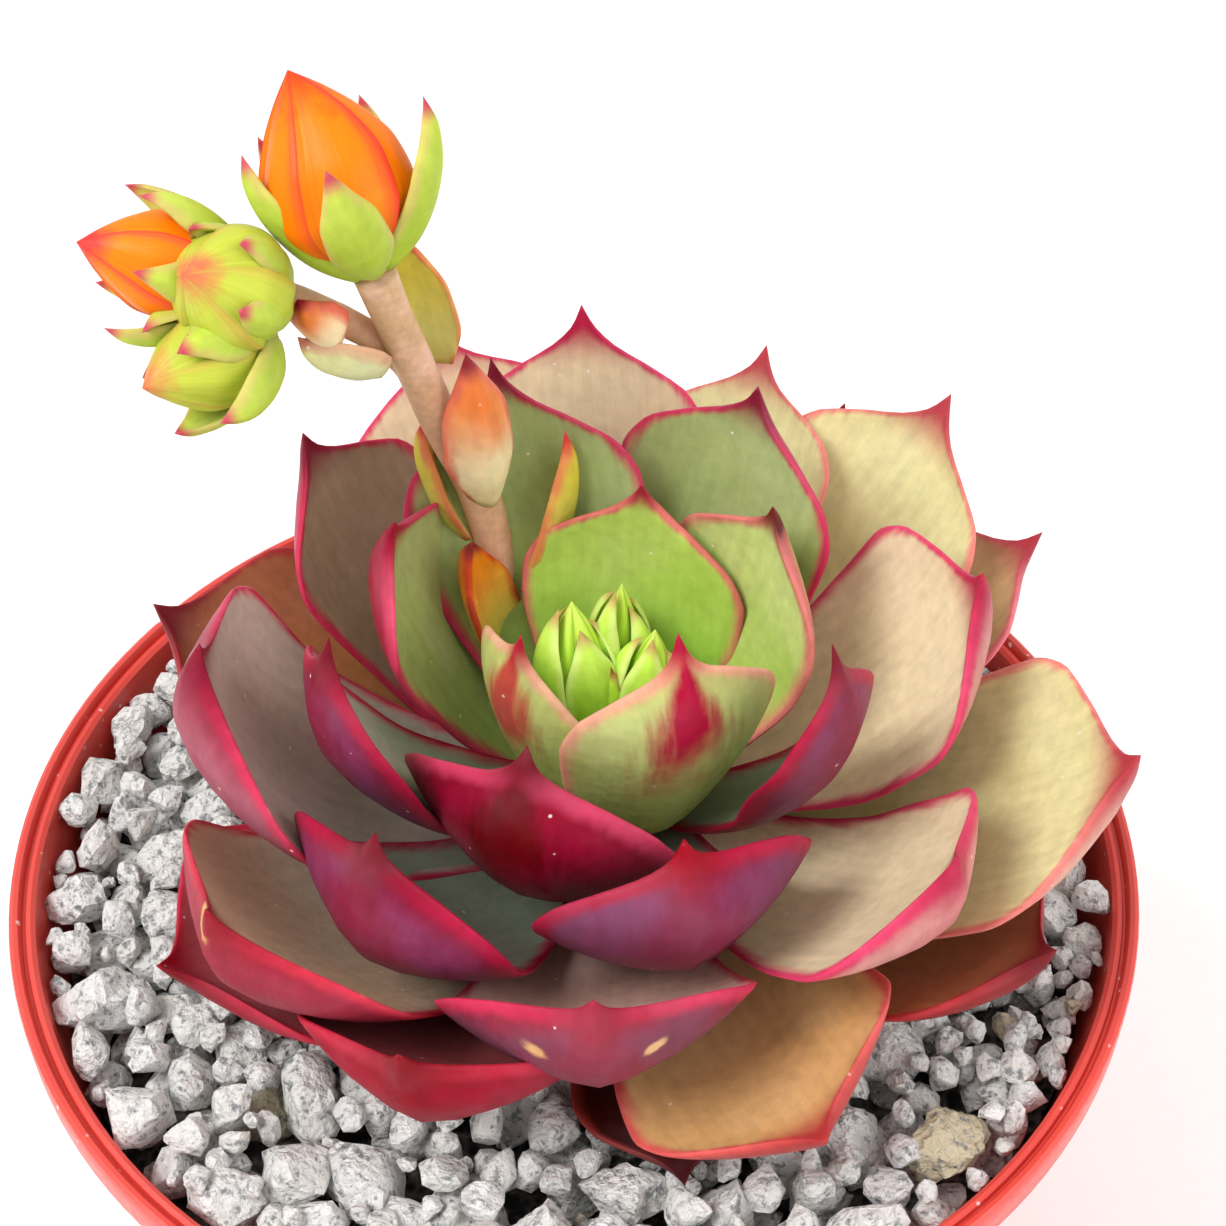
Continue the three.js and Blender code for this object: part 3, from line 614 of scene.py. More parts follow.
def foliage_material(name, glow):
    """Waxy succulent skin: soft satin gloss, a coloured margin and cusp, and a faint powdery bloom."""
    shades, margin_width, blush, streak_strength, spots = FOLIAGE[name]
    inner_low, inner_high, back_low, back_high, streak, margin, cusp = shades.split()
    material, tree, place = new_material("succulent_skin_" + name)
    blade = add(tree, "Attribute", attribute_name="blade").outputs["Vector"]
    across, along, inner_share = add(tree, "SeparateXYZ", (blade,)).outputs
    blade_mm = add(tree, "Attribute", attribute_name="blade_mm").outputs["Vector"]
    to_margin = add(tree, "SeparateXYZ", (blade_mm,)).outputs[2]
    # patches about 8 mm across, mottling of 1.2 mm and streaks 6 mm long
    patches = add(tree, "TexNoise", {"Vector": place, "Scale": 1 / (8 * MM), "Detail": 3})
    mottle = add(tree, "TexNoise", {"Vector": place, "Scale": 1 / (1.2 * MM), "Detail": 4})
    stretched = add(tree, "Mapping", {"Vector": blade_mm, "Scale": (1.1, 0.16, 0)})
    streaks = add(tree, "TexNoise", {"Vector": stretched, "Scale": 1, "Detail": 3})
    # both faces change colour from base to tip, by patches sooner or later
    swing = add(tree, "Math", (patches, 0.7, -0.35), operation="MULTIPLY_ADD")
    high = add(tree, "Math", (along, swing), operation="ADD")
    rise = add(tree, "MapRange", (high, 0.25, 0.8), interpolation_type=SMOOTH)
    inner = add(tree, "Mix", (rise, inner_low, inner_high))
    back = add(tree, "Mix", (rise, back_low, back_high))
    # the streak down the back's midrib, strongest at the tip
    off_middle = add(tree, "Math", (across,), operation="ABSOLUTE")
    ragged = add(tree, "Math", (streaks, 0.5, off_middle), operation="MULTIPLY_ADD")
    in_middle = add(tree, "MapRange", (ragged, 0.42, 0.85, 1, 0), interpolation_type=SMOOTH)
    near_tip = add(tree, "MapRange", (high, 0.3, 0.7, 0, streak_strength), interpolation_type=SMOOTH)
    streaked = add(tree, "Math", (in_middle, near_tip), operation="MULTIPLY")
    # the blush: the back takes the streak's colour towards its margin
    shaken = add(tree, "Math", (patches, 9, to_margin), operation="MULTIPLY_ADD")
    at_side = add(tree, "MapRange", (shaken, 3.5, 8, blush, 0), interpolation_type=SMOOTH)
    # the margin line, ragged by about half a millimetre, and the cusp
    on_inner = add(tree, "MapRange", (inner_share, 0.45, 0.62), interpolation_type=SMOOTH)
    rough_edge = add(tree, "Math", (streaks, 1.2, to_margin), operation="MULTIPLY_ADD")
    line_start = 0.5 + margin_width * 0.4
    line_end = 0.9 + margin_width * 1.6
    on_margin = add(tree, "MapRange", (rough_edge, line_start, line_end, 1, 0), interpolation_type=SMOOTH)
    on_cusp = add(tree, "MapRange", (along, 0.84, 0.96), interpolation_type=SMOOTH)
    layers = [(streaked, streak), (at_side, streak), (on_inner, inner), (on_margin, margin), (on_cusp, cusp)]
    # scars and spots, on the back only, wider across the leaf than along it
    on_back = add(tree, "Math", (inner_share, 0.55), operation="LESS_THAN")
    for spot_across, spot_along, radius, shade in spots:
        away = add(tree, "VectorMath", (blade_mm, (spot_across, spot_along, 0)), operation="SUBTRACT")
        flat = add(tree, "VectorMath", (away, (0.6, 1, 0)), operation="MULTIPLY")
        far = add(tree, "VectorMath", (flat,), operation="LENGTH").outputs["Value"]
        uneven = add(tree, "Math", (mottle, radius * 1.2, far), operation="MULTIPLY_ADD")
        in_spot = add(tree, "MapRange", (uneven, radius, radius * 1.7, 0.95, 0), interpolation_type=SMOOTH)
        layers.append((add(tree, "Math", (in_spot, on_back), operation="MULTIPLY"), shade))
    skin = back
    for mask, shade in layers:
        skin = add(tree, "Mix", (mask, skin, shade))
    # mottling and streaks darken and lighten the skin a little
    blend = add(tree, "Math", (mottle, streaks), operation="ADD")
    value = add(tree, "MapRange", (blend, 0.6, 1.4, 0.85, 1.12))
    skin = add(tree, "HueSaturation", {"Color": skin, "Value": value})
    # a powdery bloom in soft patches, and dust: pale specks of 0.3 mm, one in some cells of 3.5 mm
    powder = add(tree, "MapRange", (patches, 0.42, 0.75, 0, 0.05), interpolation_type=SMOOTH)
    cells = add(tree, "TexVoronoi", {"Vector": place, "Scale": 1 / (3.5 * MM)})
    speck = add(tree, "MapRange", (cells, 0.03, 0.055, 0.8, 0))
    for mask, shade in ((powder, "c4b8c8"), (speck, "e8dccc")):
        skin = add(tree, "Mix", (mask, skin, shade))
    gloss = add(tree, "MapRange", (patches, 0.3, 0.7, 0.36, 0.52))
    look = {
        "Base Color": skin, "Roughness": gloss, "IOR": 1.43, "Specular IOR Level": 0.15,
        "Subsurface Weight": glow, "Subsurface Scale": 2 * MM, "Subsurface Radius": (1, 0.5, 0.25),
    }
    surface(tree, look, blend, 0.12 * MM, 0.6)
    return material


def skin_named(name, glow=LEAF_GLOW):
    """The foliage material of a name, made when it is first asked for."""
    return bpy.data.materials.get("succulent_skin_" + name) or foliage_material(name, glow)


def petal_material(name):
    """Satin petals: a warm belly, a pink lapping edge and fine veins along the petal."""
    base, belly, tip, edge = PETALS[name].split()
    material, tree, place = new_material("satin_" + name)
    petal = add(tree, "Attribute", attribute_name="petal").outputs["Vector"]
    phase, along, _ = add(tree, "SeparateXYZ", (petal,)).outputs
    # patches 3 mm across, and 14 veins to a petal
    patches = add(tree, "TexNoise", {"Vector": place, "Scale": 1 / (3 * MM), "Detail": 3})
    stretched = add(tree, "Mapping", {"Vector": petal, "Scale": (14, 2, 1)})
    veins = add(tree, "TexNoise", {"Vector": stretched, "Scale": 1, "Detail": 3})
    swing = add(tree, "Math", (patches, 0.4, -0.2), operation="MULTIPLY_ADD")
    high = add(tree, "Math", (along, swing), operation="ADD")
    body = add(tree, "ValToRGB", (high,), ((0.05, base), (0.35, belly), (0.78, belly), (0.98, tip)))
    ragged = add(tree, "Math", (veins, 0.2, phase), operation="MULTIPLY_ADD")
    on_edge = add(tree, "MapRange", (ragged, 0.8, 1.1, 0, 0.85), interpolation_type=SMOOTH)
    skin = add(tree, "Mix", (on_edge, body, edge))
    value = add(tree, "MapRange", (veins, 0.3, 0.7, 0.9, 1.08))
    look = {
        "Base Color": add(tree, "HueSaturation", {"Color": skin, "Value": value}),
        "Roughness": add(tree, "MapRange", (patches, 0, 1, 0.3, 0.5)),
        "IOR": 1.42, "Specular IOR Level": 0.2, "Subsurface Weight": 0.15, "Subsurface Scale": 1.5 * MM,
    }
    surface(tree, look, veins, 0.1 * MM, 0.5)
    return material


def stalk_material(name, low, high, patch):
    """Smooth succulent stalk: matte satin, from one colour at its foot to another, with pale patches."""
    material, tree, place = new_material(name)
    rod = add(tree, "Attribute", attribute_name="rod").outputs["Vector"]
    along = add(tree, "SeparateXYZ", (rod,)).outputs[1]
    # patches 4 mm across and a grain of 0.7 mm
    patches = add(tree, "TexNoise", {"Vector": place, "Scale": 1 / (4 * MM), "Detail": 4})
    fine = add(tree, "TexNoise", {"Vector": place, "Scale": 1 / (0.7 * MM), "Detail": 4})
    body = add(tree, "Mix", (along, low, high))
    tinted = add(tree, "MapRange", (patches, 0.45, 0.7, 0, 0.7), interpolation_type=SMOOTH)
    skin = add(tree, "Mix", (tinted, body, patch))
    value = add(tree, "MapRange", (fine, 0.3, 0.7, 0.88, 1.1))
    look = {
        "Base Color": add(tree, "HueSaturation", {"Color": skin, "Value": value}),
        "Roughness": add(tree, "MapRange", (patches, 0, 1, 0.4, 0.6)),
        "IOR": 1.42, "Subsurface Weight": 0.15, "Subsurface Scale": 1.5 * MM,
    }
    surface(tree, look, fine, 0.1 * MM, 0.25)
    return material


def pot_material():
    """Injection-moulded polypropylene: satin gloss, faint moulding ripple, dust on the rim."""
    material, tree, place = new_material("polypropylene_coral")
    height = add(tree, "SeparateXYZ", (place,)).outputs[2]
    # flow marks 25 mm across and a ripple of 0.8 mm
    flow = add(tree, "TexNoise", {"Vector": place, "Scale": 1 / (25 * MM), "Detail": 4})
    grain = add(tree, "TexNoise", {"Vector": place, "Scale": 1 / (0.8 * MM), "Detail": 4})
    body = add(tree, "ValToRGB", (flow,), ((0.3, "cc3e34"), (0.7, "d94a3f")))
    # dust: white specks 0.3 to 0.6 mm across, only on the rim
    cells = add(tree, "TexVoronoi", {"Vector": place, "Scale": 1 / (2.2 * MM)})
    uneven = add(tree, "Math", (grain, 0.25, cells), operation="MULTIPLY_ADD")
    speck = add(tree, "MapRange", (uneven, 0.16, 0.24, 0.85, 0))
    on_rim = add(tree, "MapRange", (height, POT_HIGH.z - 6 * MM, POT_HIGH.z - 1 * MM))
    dusty = add(tree, "Math", (speck, on_rim), operation="MULTIPLY")
    look = {
        "Base Color": add(tree, "Mix", (dusty, body, "f2e4dc")),
        "Roughness": add(tree, "MapRange", (grain, 0.3, 0.7, 0.3, 0.42)),
        "IOR": 1.49, "Subsurface Weight": 0.05, "Subsurface Scale": 1 * MM,
    }
    surface(tree, look, grain, 0.05 * MM, 0.4)
    return material


def pumice_material():
    """Pumice: froth of volcanic glass, rough and white to grey, with painted shade in its hollows and fine
    holes.
    """
    material, tree, place = new_material("pumice_stone")
    tone_and_painted_light = add(tree, "Attribute", attribute_name="tone_and_painted_light").outputs["Vector"]
    lightness_and_painted_light, yellow, _ = add(tree, "SeparateXYZ", (tone_and_painted_light,)).outputs
    # blotches 2.6 mm across, froth of 1.1 mm, holes of 0.8 mm, and mica specks in cells of 2.4 mm
    blotch = add(tree, "TexNoise", {"Vector": place, "Scale": 1 / (2.6 * MM), "Detail": 5, "Roughness": 0.6})
    froth = add(tree, "TexNoise", {"Vector": place, "Scale": 1 / (1.1 * MM), "Detail": 6, "Roughness": 0.68})
    holes = add(tree, "TexVoronoi", {"Vector": place, "Scale": 1 / (0.8 * MM)})
    mica = add(tree, "TexVoronoi", {"Vector": place, "Scale": 1 / (2.4 * MM)})
    # the ramp is grey where the blotches sink and white on their tops: partly the stones' own blotchy
    # colouring, partly painted shade in the hollows of the bump; each stone's lightness also carries painted
    # light, brighter towards the left
    shade = add(tree, "Math", (blotch, 0.9, lightness_and_painted_light), operation="MULTIPLY_ADD")
    skin = add(tree, "ValToRGB", (shade,), ((0.22, "acb0b2"), (0.4, "e2e4e4"), (0.58, "fefefc")))
    # painted shade: grey where the froth sinks, in the hollows of the bump
    painted_pit_shade = add(tree, "MapRange", (froth, 0.36, 0.48, 0.85, 0), interpolation_type=SMOOTH)
    speck = add(tree, "MapRange", (mica, 0.05, 0.09, 0.6, 0))
    for mask, code in ((yellow, "d9c795"), (painted_pit_shade, "83898c"), (speck, "34363a")):
        skin = add(tree, "Mix", (mask, skin, code))
    coarse = add(tree, "Math", (blotch, 1.5, froth), operation="MULTIPLY_ADD")
    height = add(tree, "Math", (holes, 0.4, coarse), operation="MULTIPLY_ADD")
    surface(tree, {"Base Color": skin, "Roughness": 0.92, "IOR": 1.5}, height, 1.3 * MM)
    return material


def ground_material(name, dark, mid, pale, grain_size):
    """Loose fibrous ground: grains of a given size from dark to pale, quite matte."""
    material, tree, place = new_material(name)
    grains = add(tree, "TexVoronoi", {"Vector": place, "Scale": 1 / grain_size})
    clods = add(tree, "TexNoise", {"Vector": place, "Scale": 0.3 / grain_size, "Detail": 5})
    mixed = add(tree, "Math", (grains, 0.5, clods), operation="MULTIPLY_ADD")
    body = add(tree, "ValToRGB", (mixed,), ((0.4, dark), (0.7, mid), (0.95, pale)))
    surface(tree, {"Base Color": body, "Roughness": 0.95}, mixed, grain_size / 2)
    return material


def floor_material(paper):
    """Matt white paper, with a tooth of 2 mm that only just shows."""
    material, tree, place = new_material("matt_paper")
    tooth = add(tree, "TexNoise", {"Vector": place, "Scale": 1 / (2 * MM), "Detail": 2})
    surface(tree, {"Base Color": add(tree, "Mix", (tooth, tuple(paper), "fbfbfa")), "Roughness": 0.9})
    return material


# ---- settings ---------------------------------------------------------------------------------
class StageSettings(bpy.types.PropertyGroup):
    """The floor, the light and the camera."""

    lens: bpy.props.FloatProperty(name="Lens", description="Focal length on a 36 mm sensor", default=64.6)
    distance: bpy.props.FloatProperty(
        name="Distance", description="From the camera to the point it looks at", default=0.18114,
        unit="LENGTH")
    elevation: bpy.props.FloatProperty(
        name="Elevation", description="Camera angle above the horizon", default=math.radians(44.49),
        subtype="ANGLE")
    aim_height: bpy.props.FloatProperty(
        name="Aim height", description="Height of the point on the pot's axis that the camera looks at",
        default=0.11378, unit="LENGTH")
    aim_side: bpy.props.FloatProperty(
        name="Aim side", description="How far right of the pot's axis the camera stands",
        default=0.00347, unit="LENGTH")
    floor_colour: bpy.props.FloatVectorProperty(
        name="Floor colour", description="Colour of the floor", default=colour("f6f6f4"), size=4,
        subtype="COLOR", min=0, max=1)
    key_power: bpy.props.FloatProperty(
        name="Key light", description="Power of the lamp at the left, watts", default=3.2)
    fill_power: bpy.props.FloatProperty(
        name="Fill light", description="Power of the lamp at the right, watts", default=1.4)
    sky: bpy.props.FloatProperty(name="Sky", description="Brightness all around", default=0.92)


class PotSettings(bpy.types.PropertyGroup):
    """The nursery pot."""

    sides: bpy.props.IntProperty(name="Sides", description="Faces around the pot", default=144)
    wall: bpy.props.FloatProperty(
        name="Wall", description="Thickness of the wall", default=1.2 * MM, unit="LENGTH")
    rim_width: bpy.props.FloatProperty(
        name="Rim width", description="Width of the flat rim", default=2.3 * MM, unit="LENGTH")
    rim_height: bpy.props.FloatProperty(
        name="Rim height", description="Height of the lip outside", default=4 * MM, unit="LENGTH")
    floor_thickness: bpy.props.FloatProperty(
        name="Floor thickness", description="Thickness of the bottom", default=2 * MM, unit="LENGTH")
    hole_radius: bpy.props.FloatProperty(
        name="Hole radius", description="Radius of a drain hole", default=3.5 * MM, unit="LENGTH")
    hole_ring: bpy.props.FloatProperty(
        name="Hole ring", description="Radius of the ring of drain holes", default=23 * MM, unit="LENGTH")
    holes: bpy.props.IntProperty(name="Holes", description="Number of drain holes", default=6)


class GravelSettings(bpy.types.PropertyGroup):
    """The pumice gravel on top of the soil."""

    seed: bpy.props.IntProperty(
        name="Seed", description="Another seed lays the stones another way", default=7)
    stones: bpy.props.IntProperty(name="Stones", description="Number of stones tried", default=700)
    grit: bpy.props.IntProperty(name="Grit", description="Number of small stones tried", default=700)
    largest: bpy.props.FloatProperty(
        name="Largest stone", description="Radius of the largest stone", default=5.4 * MM, unit="LENGTH")
    boulder: bpy.props.FloatProperty(
        name="Boulder", description="Radius from which a stone is modelled finest", default=4.1 * MM,
        unit="LENGTH")
    large: bpy.props.FloatProperty(
        name="Large stone", description="Radius from which a stone is modelled finely", default=3.0 * MM,
        unit="LENGTH")
    smallest: bpy.props.FloatProperty(
        name="Smallest stone", description="Radius of the smallest stone", default=2.0 * MM, unit="LENGTH")
    bed: bpy.props.FloatProperty(
        name="Bed", description="Height of the dark bed under the stones", default=75 * MM, unit="LENGTH")


class LeafSettings(bpy.types.PropertyGroup):
    """The leaves of the rosette."""

    thickness: bpy.props.FloatProperty(
        name="Thickness", description="A leaf's thickness as a share of its width", default=0.17)
    cup: bpy.props.FloatProperty(
        name="Cup", description="How far the margins rise, as a share of the half width", default=0.2)
    keel: bpy.props.FloatProperty(
        name="Keel", description="How far the back's midrib stands out near the tip", default=0.3)
    wave: bpy.props.FloatProperty(
        name="Wave", description="How far the margins wander", default=0.9 * MM, unit="LENGTH")
    sides: bpy.props.IntProperty(name="Sides", description="Faces around a leaf", default=32)
    rows: bpy.props.IntProperty(name="Rows", description="Faces along a leaf", default=44)


GROUPS = {
    "succulent_stage": StageSettings,
    "succulent_pot": PotSettings,
    "succulent_gravel": GravelSettings,
    "succulent_leaf": LeafSettings,
}


# ---- the pot -----------------------------------------------------------------------------------
def radius_near(node, height, spread=0.6 * MM):
    """The largest radius of a CAD node's points near a height."""
    points = [point.co for point in frame["nodes"][node].data.vertices if abs(point.co.z - height) < spread]
    return max(math.hypot(point.x, point.y) for point in points)


BASE_RADIUS = radius_near("pot", POT_LOW.z + 1 * MM)
# The wall's outer radius where it would reach the rim's top.
WALL_TOP_RADIUS = POT_HIGH.x - 0.8 * MM


def inner_radius(height, wall):
    """The pot's radius inside its wall at a height."""
    share = height / POT_HIGH.z
    return BASE_RADIUS + (WALL_TOP_RADIUS - BASE_RADIUS) * share - wall


class SUCCULENT_OT_pot(bpy.types.Operator):
    """Turn the pot from its profile, and cut its drain holes"""

    bl_idname = "succulent.pot"
    bl_label = "Nursery pot"

    def execute(self, context):
        sizes = context.scene.succulent_pot
        top = POT_HIGH.z
        rim = POT_HIGH.x
        lip = top - sizes.rim_height
        at_lip = inner_radius(lip, 0)
        profile = [
            (BASE_RADIUS - 1 * MM, 0),
            (BASE_RADIUS - 0.3 * MM, 0.3 * MM),
            (BASE_RADIUS, 1 * MM),
            (at_lip, lip - 0.2 * MM),
            (at_lip + 0.25 * MM, lip),
            (rim - 0.3 * MM, lip + 0.1 * MM),
            (rim - 0.05 * MM, lip + 0.5 * MM),
            (rim, top - 0.6 * MM),
            (rim - 0.12 * MM, top - 0.2 * MM),
            (rim - 0.45 * MM, top),
            (rim - 0.85 * MM, top - 0.08 * MM),
            (rim - 1.05 * MM, top - 0.45 * MM),
            (rim - 1.15 * MM, top - 1.0 * MM),
            (rim - 1.35 * MM, top - 1.05 * MM),
            (rim - 1.5 * MM, top - 0.65 * MM),
            (rim - 1.9 * MM, top - 0.55 * MM),
            (rim - sizes.rim_width, top - 0.85 * MM),
            (inner_radius(top - 2.4 * MM, sizes.wall), top - 2.4 * MM),
            (inner_radius(sizes.floor_thickness, sizes.wall), sizes.floor_thickness),
        ]
        deselect()
        bpy.ops.mesh.primitive_circle_add(
            vertices=sizes.sides, radius=profile[0][0], fill_type="NGON", location=(0, 0, 0))
        pot = context.object
        bpy.ops.object.mode_set(mode="EDIT")
        bpy.ops.mesh.select_mode(type="EDGE")
        bpy.ops.mesh.select_all(action="DESELECT")
        shape = bmesh.from_edit_mesh(pot.data)
        for edge in shape.edges:
            edge.select_set(edge.is_boundary)
        bmesh.update_edit_mesh(pot.data)
        for (radius, height), (next_radius, next_height) in zip(profile, profile[1:]):
            bpy.ops.mesh.extrude_region_move(
                TRANSFORM_OT_translate={"value": (0, 0, next_height - height)})
            grow = next_radius / radius
            bpy.ops.transform.resize(value=(grow, grow, 1), center_override=(0, 0, next_height))
        bpy.ops.mesh.edge_face_add()
        bpy.ops.mesh.select_all(action="SELECT")
        bpy.ops.mesh.normals_make_consistent(inside=False)
        bpy.ops.mesh.select_mode(type="VERT")
        bpy.ops.object.mode_set(mode="OBJECT")
        drills = []
        for index in range(sizes.holes):
            turn = 2 * math.pi * index / sizes.holes
            deselect()
            bpy.ops.mesh.primitive_cylinder_add(
                vertices=32, radius=sizes.hole_radius, depth=sizes.floor_thickness * 4,
                location=(math.cos(turn) * sizes.hole_ring, math.sin(turn) * sizes.hole_ring, 0))
            drills.append(context.object)
        drill = join(drills, "drill")
        bore = pot.modifiers.new("drain holes", "BOOLEAN")
        bore.object = drill
        bore.operation = "DIFFERENCE"
        bore.solver = "EXACT"
        select_only(pot)
        bpy.ops.object.modifier_apply(modifier=bore.name)
        remove(drill)
        pot.name = "nursery_pot"
        close_up(pot, 35)
        settle(pot, pot_material(), "pot_plastic", "pot")
        return {"FINISHED"}


# ---- soil, bed and gravel ------------------------------------------------------------------------
class SUCCULENT_OT_soil(bpy.types.Operator):
    """Give the soil its looks, and lay the dark bed that the stones lie on, painted shade deep in the gaps
    between them
    """

    bl_idname = "succulent.soil"
    bl_label = "Soil and bed"

    def execute(self, context):
        wall = context.scene.succulent_pot.wall
        top = context.scene.succulent_gravel.bed
        # peaty potting mix: near black, crumbly
        mix = ground_material("potting_mix", "0d0a08", "241c16", "4a4038", 1.2 * MM)
        soil = frame["nodes"]["soil"]
        soil.data.materials.clear()
        soil.data.materials.append(mix)

        def shape(angle, place, reach):
            on_wall = place < BED_SIDE
            rise = PUMICE_LOW.z + (top - PUMICE_LOW.z) * place / BED_SIDE
            height = np.where(on_wall, rise, top)
            out = inner_radius(height, wall) - BED_GAP
            radius = np.where(on_wall, out, out * (1 - (place - BED_SIDE) / (1 - BED_SIDE))) * reach
            x = np.cos(angle) * radius
            y = np.sin(angle) * radius
            lumps = np.array([fractal(Vector((a, b, 0)) / (6 * MM)) for a, b in zip(x, y)])
            height = height + np.where(on_wall, 0, lumps * BED_LUMPS)
            return np.stack([x, y, height], 1) / MM, {}

        blank = ring_blank(72, 40)
        bed = shaped(blank, "gravel_bed", shape)
        remove(blank)
        # the bed between and under the stones: dark grey crushed stone dust and peat, darkened as painted
        # shade deep in the gaps between them
        dust = ground_material("grit_peat_and_painted_shade", "0c0b0a", "2a2826", "6c6a66", 0.9 * MM)
        settle(bed, dust, "pumice")
        return {"FINISHED"}


def stone_blank(seed, detail):
    """One stone: a ball chipped flat on a few sides, and roughened."""
    chance = random.Random(seed)
    deselect()
    bpy.ops.mesh.primitive_ico_sphere_add(subdivisions=detail, radius=1)
    stone = bpy.context.object
    flat = np.empty(len(stone.data.vertices) * 3)
    stone.data.vertices.foreach_get("co", flat)
    points = flat.reshape(-1, 3)
    points *= (1.1, 0.72 + 0.3 * chance.random(), 0.66 + 0.25 * chance.random())
    shift = Vector((seed * 3.7, seed * 1.3, 0))
    lumps = np.array([fractal(Vector(point) * 1.3 + shift) for point in points])
    points *= (1 + STONE_LUMPS * lumps)[:, None]
    for _ in range(STONE_CHIPS):
        way = unit([chance.gauss(0, 1) for _ in range(3)])
        past = np.maximum(points @ way - (0.5 + 0.3 * chance.random()), 0)
        points -= np.outer(past * 0.9, way)
    froth = np.array([fractal(Vector(point) * 5 + shift, 0.6) for point in points])
    points *= (1 + STONE_FROTH * froth)[:, None]
    points /= np.abs(points).max()
    stone.data.vertices.foreach_set("co", points.ravel())
    stone.data.attributes.new("tone_and_painted_light", "FLOAT_VECTOR", "POINT")
    return stone


def spin_of(chance):
    """A turn to any side, each as likely."""
    turn = Quaternion([chance.gauss(0, 1) for _ in range(4)])
    turn.normalize()
    return turn


def foliage_tree():
    """The leaves and the stem as one tree that distances are measured to."""
    points = []
    faces = []
    for obj in bpy.data.objects:
        if obj.name.startswith(("succulent_leaf", "succulent_stem")):
            start = len(points)
            points += [point.co.copy() for point in obj.data.vertices]
            faces += [[start + index for index in face.vertices] for face in obj.data.polygons]
    return BVHTree.FromPolygons(points, faces)


def resting_place(chance, radius, laid, foliage, sizes, wall):
    """The lowest of several places tried for a stone, on the bed and the stones laid before, or None."""
    mouth = inner_radius(PUMICE_HIGH.z, wall)
    best = None
    for _ in range(STONE_TRIES if radius > sizes.smallest else GRIT_TRIES):
        reach = (mouth - radius * 0.9) * math.sqrt(chance.random())
        turn = 2 * math.pi * chance.random()
        x = math.cos(turn) * reach
        y = math.sin(turn) * reach
        in_grit = math.hypot(x - GRIT_PATCH[0], y - GRIT_PATCH[1]) < GRIT_PATCH_RADIUS
        if in_grit and radius > sizes.smallest * 0.9:
            continue
        z = sizes.bed + radius * 0.5
        if len(laid):
            gap = np.hypot(laid[:, 0] - x, laid[:, 1] - y)
            touch = (laid[:, 3] + radius) * TOUCH_SHARE
            near = gap < touch
            if near.any():
                z = max(z, (laid[near, 2] + np.sqrt(touch[near] ** 2 - gap[near] ** 2)).max())
        share = math.hypot(x, y) / mouth
        level = PUMICE_HIGH.z + GRAVEL_EDGE_RISE - GRAVEL_DISH * (1 - share ** 2)
        too_high = z + radius * 0.8 > level
        in_wall = math.hypot(x, y) > inner_radius(z, wall) - radius * WALL_SHARE
        if too_high or in_wall:
            continue
        if foliage.find_nearest(Vector((x, y, z)), radius * 0.9)[0] is not None:
            continue
        if best is None or z < best[2]:
            best = (x, y, z)
    return best


def lay_stone(chance, blank, place, radius):
    """A copy of a stone, turned by chance and laid at its place, with its own colouring and painted light.
    """
    stone = bpy.data.objects.new("stone", blank.data.copy())
    bpy.context.collection.objects.link(stone)
    turn = spin_of(chance).to_matrix().to_4x4()
    stone.data.transform(Matrix.Translation(place) @ turn @ Matrix.Scale(radius * STONE_REACH, 4))
    # painted light: the stones are brighter towards the left, where the key lamp shines from; their
    # lightness also differs at random, and a few of them are yellow
    lightness_and_painted_light = 0.18 + 0.42 * chance.random() - 1.6 * place[0]
    yellow = 0.75 if chance.random() < YELLOW_CHANCE else 0.12 * chance.random()
    tone_and_painted_light = np.tile((lightness_and_painted_light, yellow, chance.random()), (len(stone.data.vertices), 1))
    stone.data.attributes["tone_and_painted_light"].data.foreach_set("vector", tone_and_painted_light.ravel())
    return stone


class SUCCULENT_OT_gravel(bpy.types.Operator):
    """Drop the stones one by one into the pot, in chance order and the grit last, clear of the leaves"""

    bl_idname = "succulent.gravel"
    bl_label = "Pumice gravel"

    def execute(self, context):
        sizes = context.scene.succulent_gravel
        wall = context.scene.succulent_pot.wall
        chance = random.Random(sizes.seed)
        foliage = foliage_tree()
        # kinds of stone: the least radius, the detail of its blanks, and the seeds they are made from
        kinds = {
            "boulder": (sizes.boulder, 4, range(1, 11)),
            "large": (sizes.large, 3, range(11, 21)),
            "medium": (sizes.smallest, 2, range(21, 31)),
            "grit": (0, 2, range(31, 37)),
        }
        blanks = {
            kind: [stone_blank(seed, detail) for seed in seeds] for kind, (_, detail, seeds) in kinds.items()
        }
        spans = [chance.random() ** 1.7 for _ in range(sizes.stones)]
        radii = [sizes.smallest + (sizes.largest - sizes.smallest) * span for span in spans]
        grit = [sizes.smallest * (0.35 + 0.6 * chance.random()) for _ in range(sizes.grit)]
        radii += sorted(grit, reverse=True)
        laid = np.zeros((0, 4))
        copies = {kind: [] for kind in kinds}
        for radius in radii:
            place = resting_place(chance, radius, laid, foliage, sizes, wall)
            if place is None:
                continue
            laid = np.vstack([laid, (*place, radius)])
            kind = next(kind for kind, (least, _, _) in kinds.items() if radius > least)
            copies[kind].append(lay_stone(chance, chance.choice(blanks[kind]), place, radius))
        remove(*(blank for row in blanks.values() for blank in row))
        stone_look = pumice_material()
        for kind, stones in copies.items():
            gravel = join(stones, "pumice_" + kind)
            bpy.ops.object.shade_smooth_by_angle(angle=math.radians(STONE_SMOOTH_ANGLE))
            settle(gravel, stone_look, "pumice", "pumice")
        return {"FINISHED"}


# ---- the rosette ---------------------------------------------------------------------------------
def lean(vector):
    """Leans a vector of the upright rosette to the front."""
    x, y, z = vector
    turn = math.radians(CROWN_TILT)
    return np.array((x, y * math.cos(turn) - z * math.sin(turn), y * math.sin(turn) + z * math.cos(turn)))


def crown_point(azimuth, reach, height):
    turn = math.radians(azimuth)
    return lean((math.cos(turn) * reach, math.sin(turn) * reach, height)) + np.array(CROWN_CENTRE)


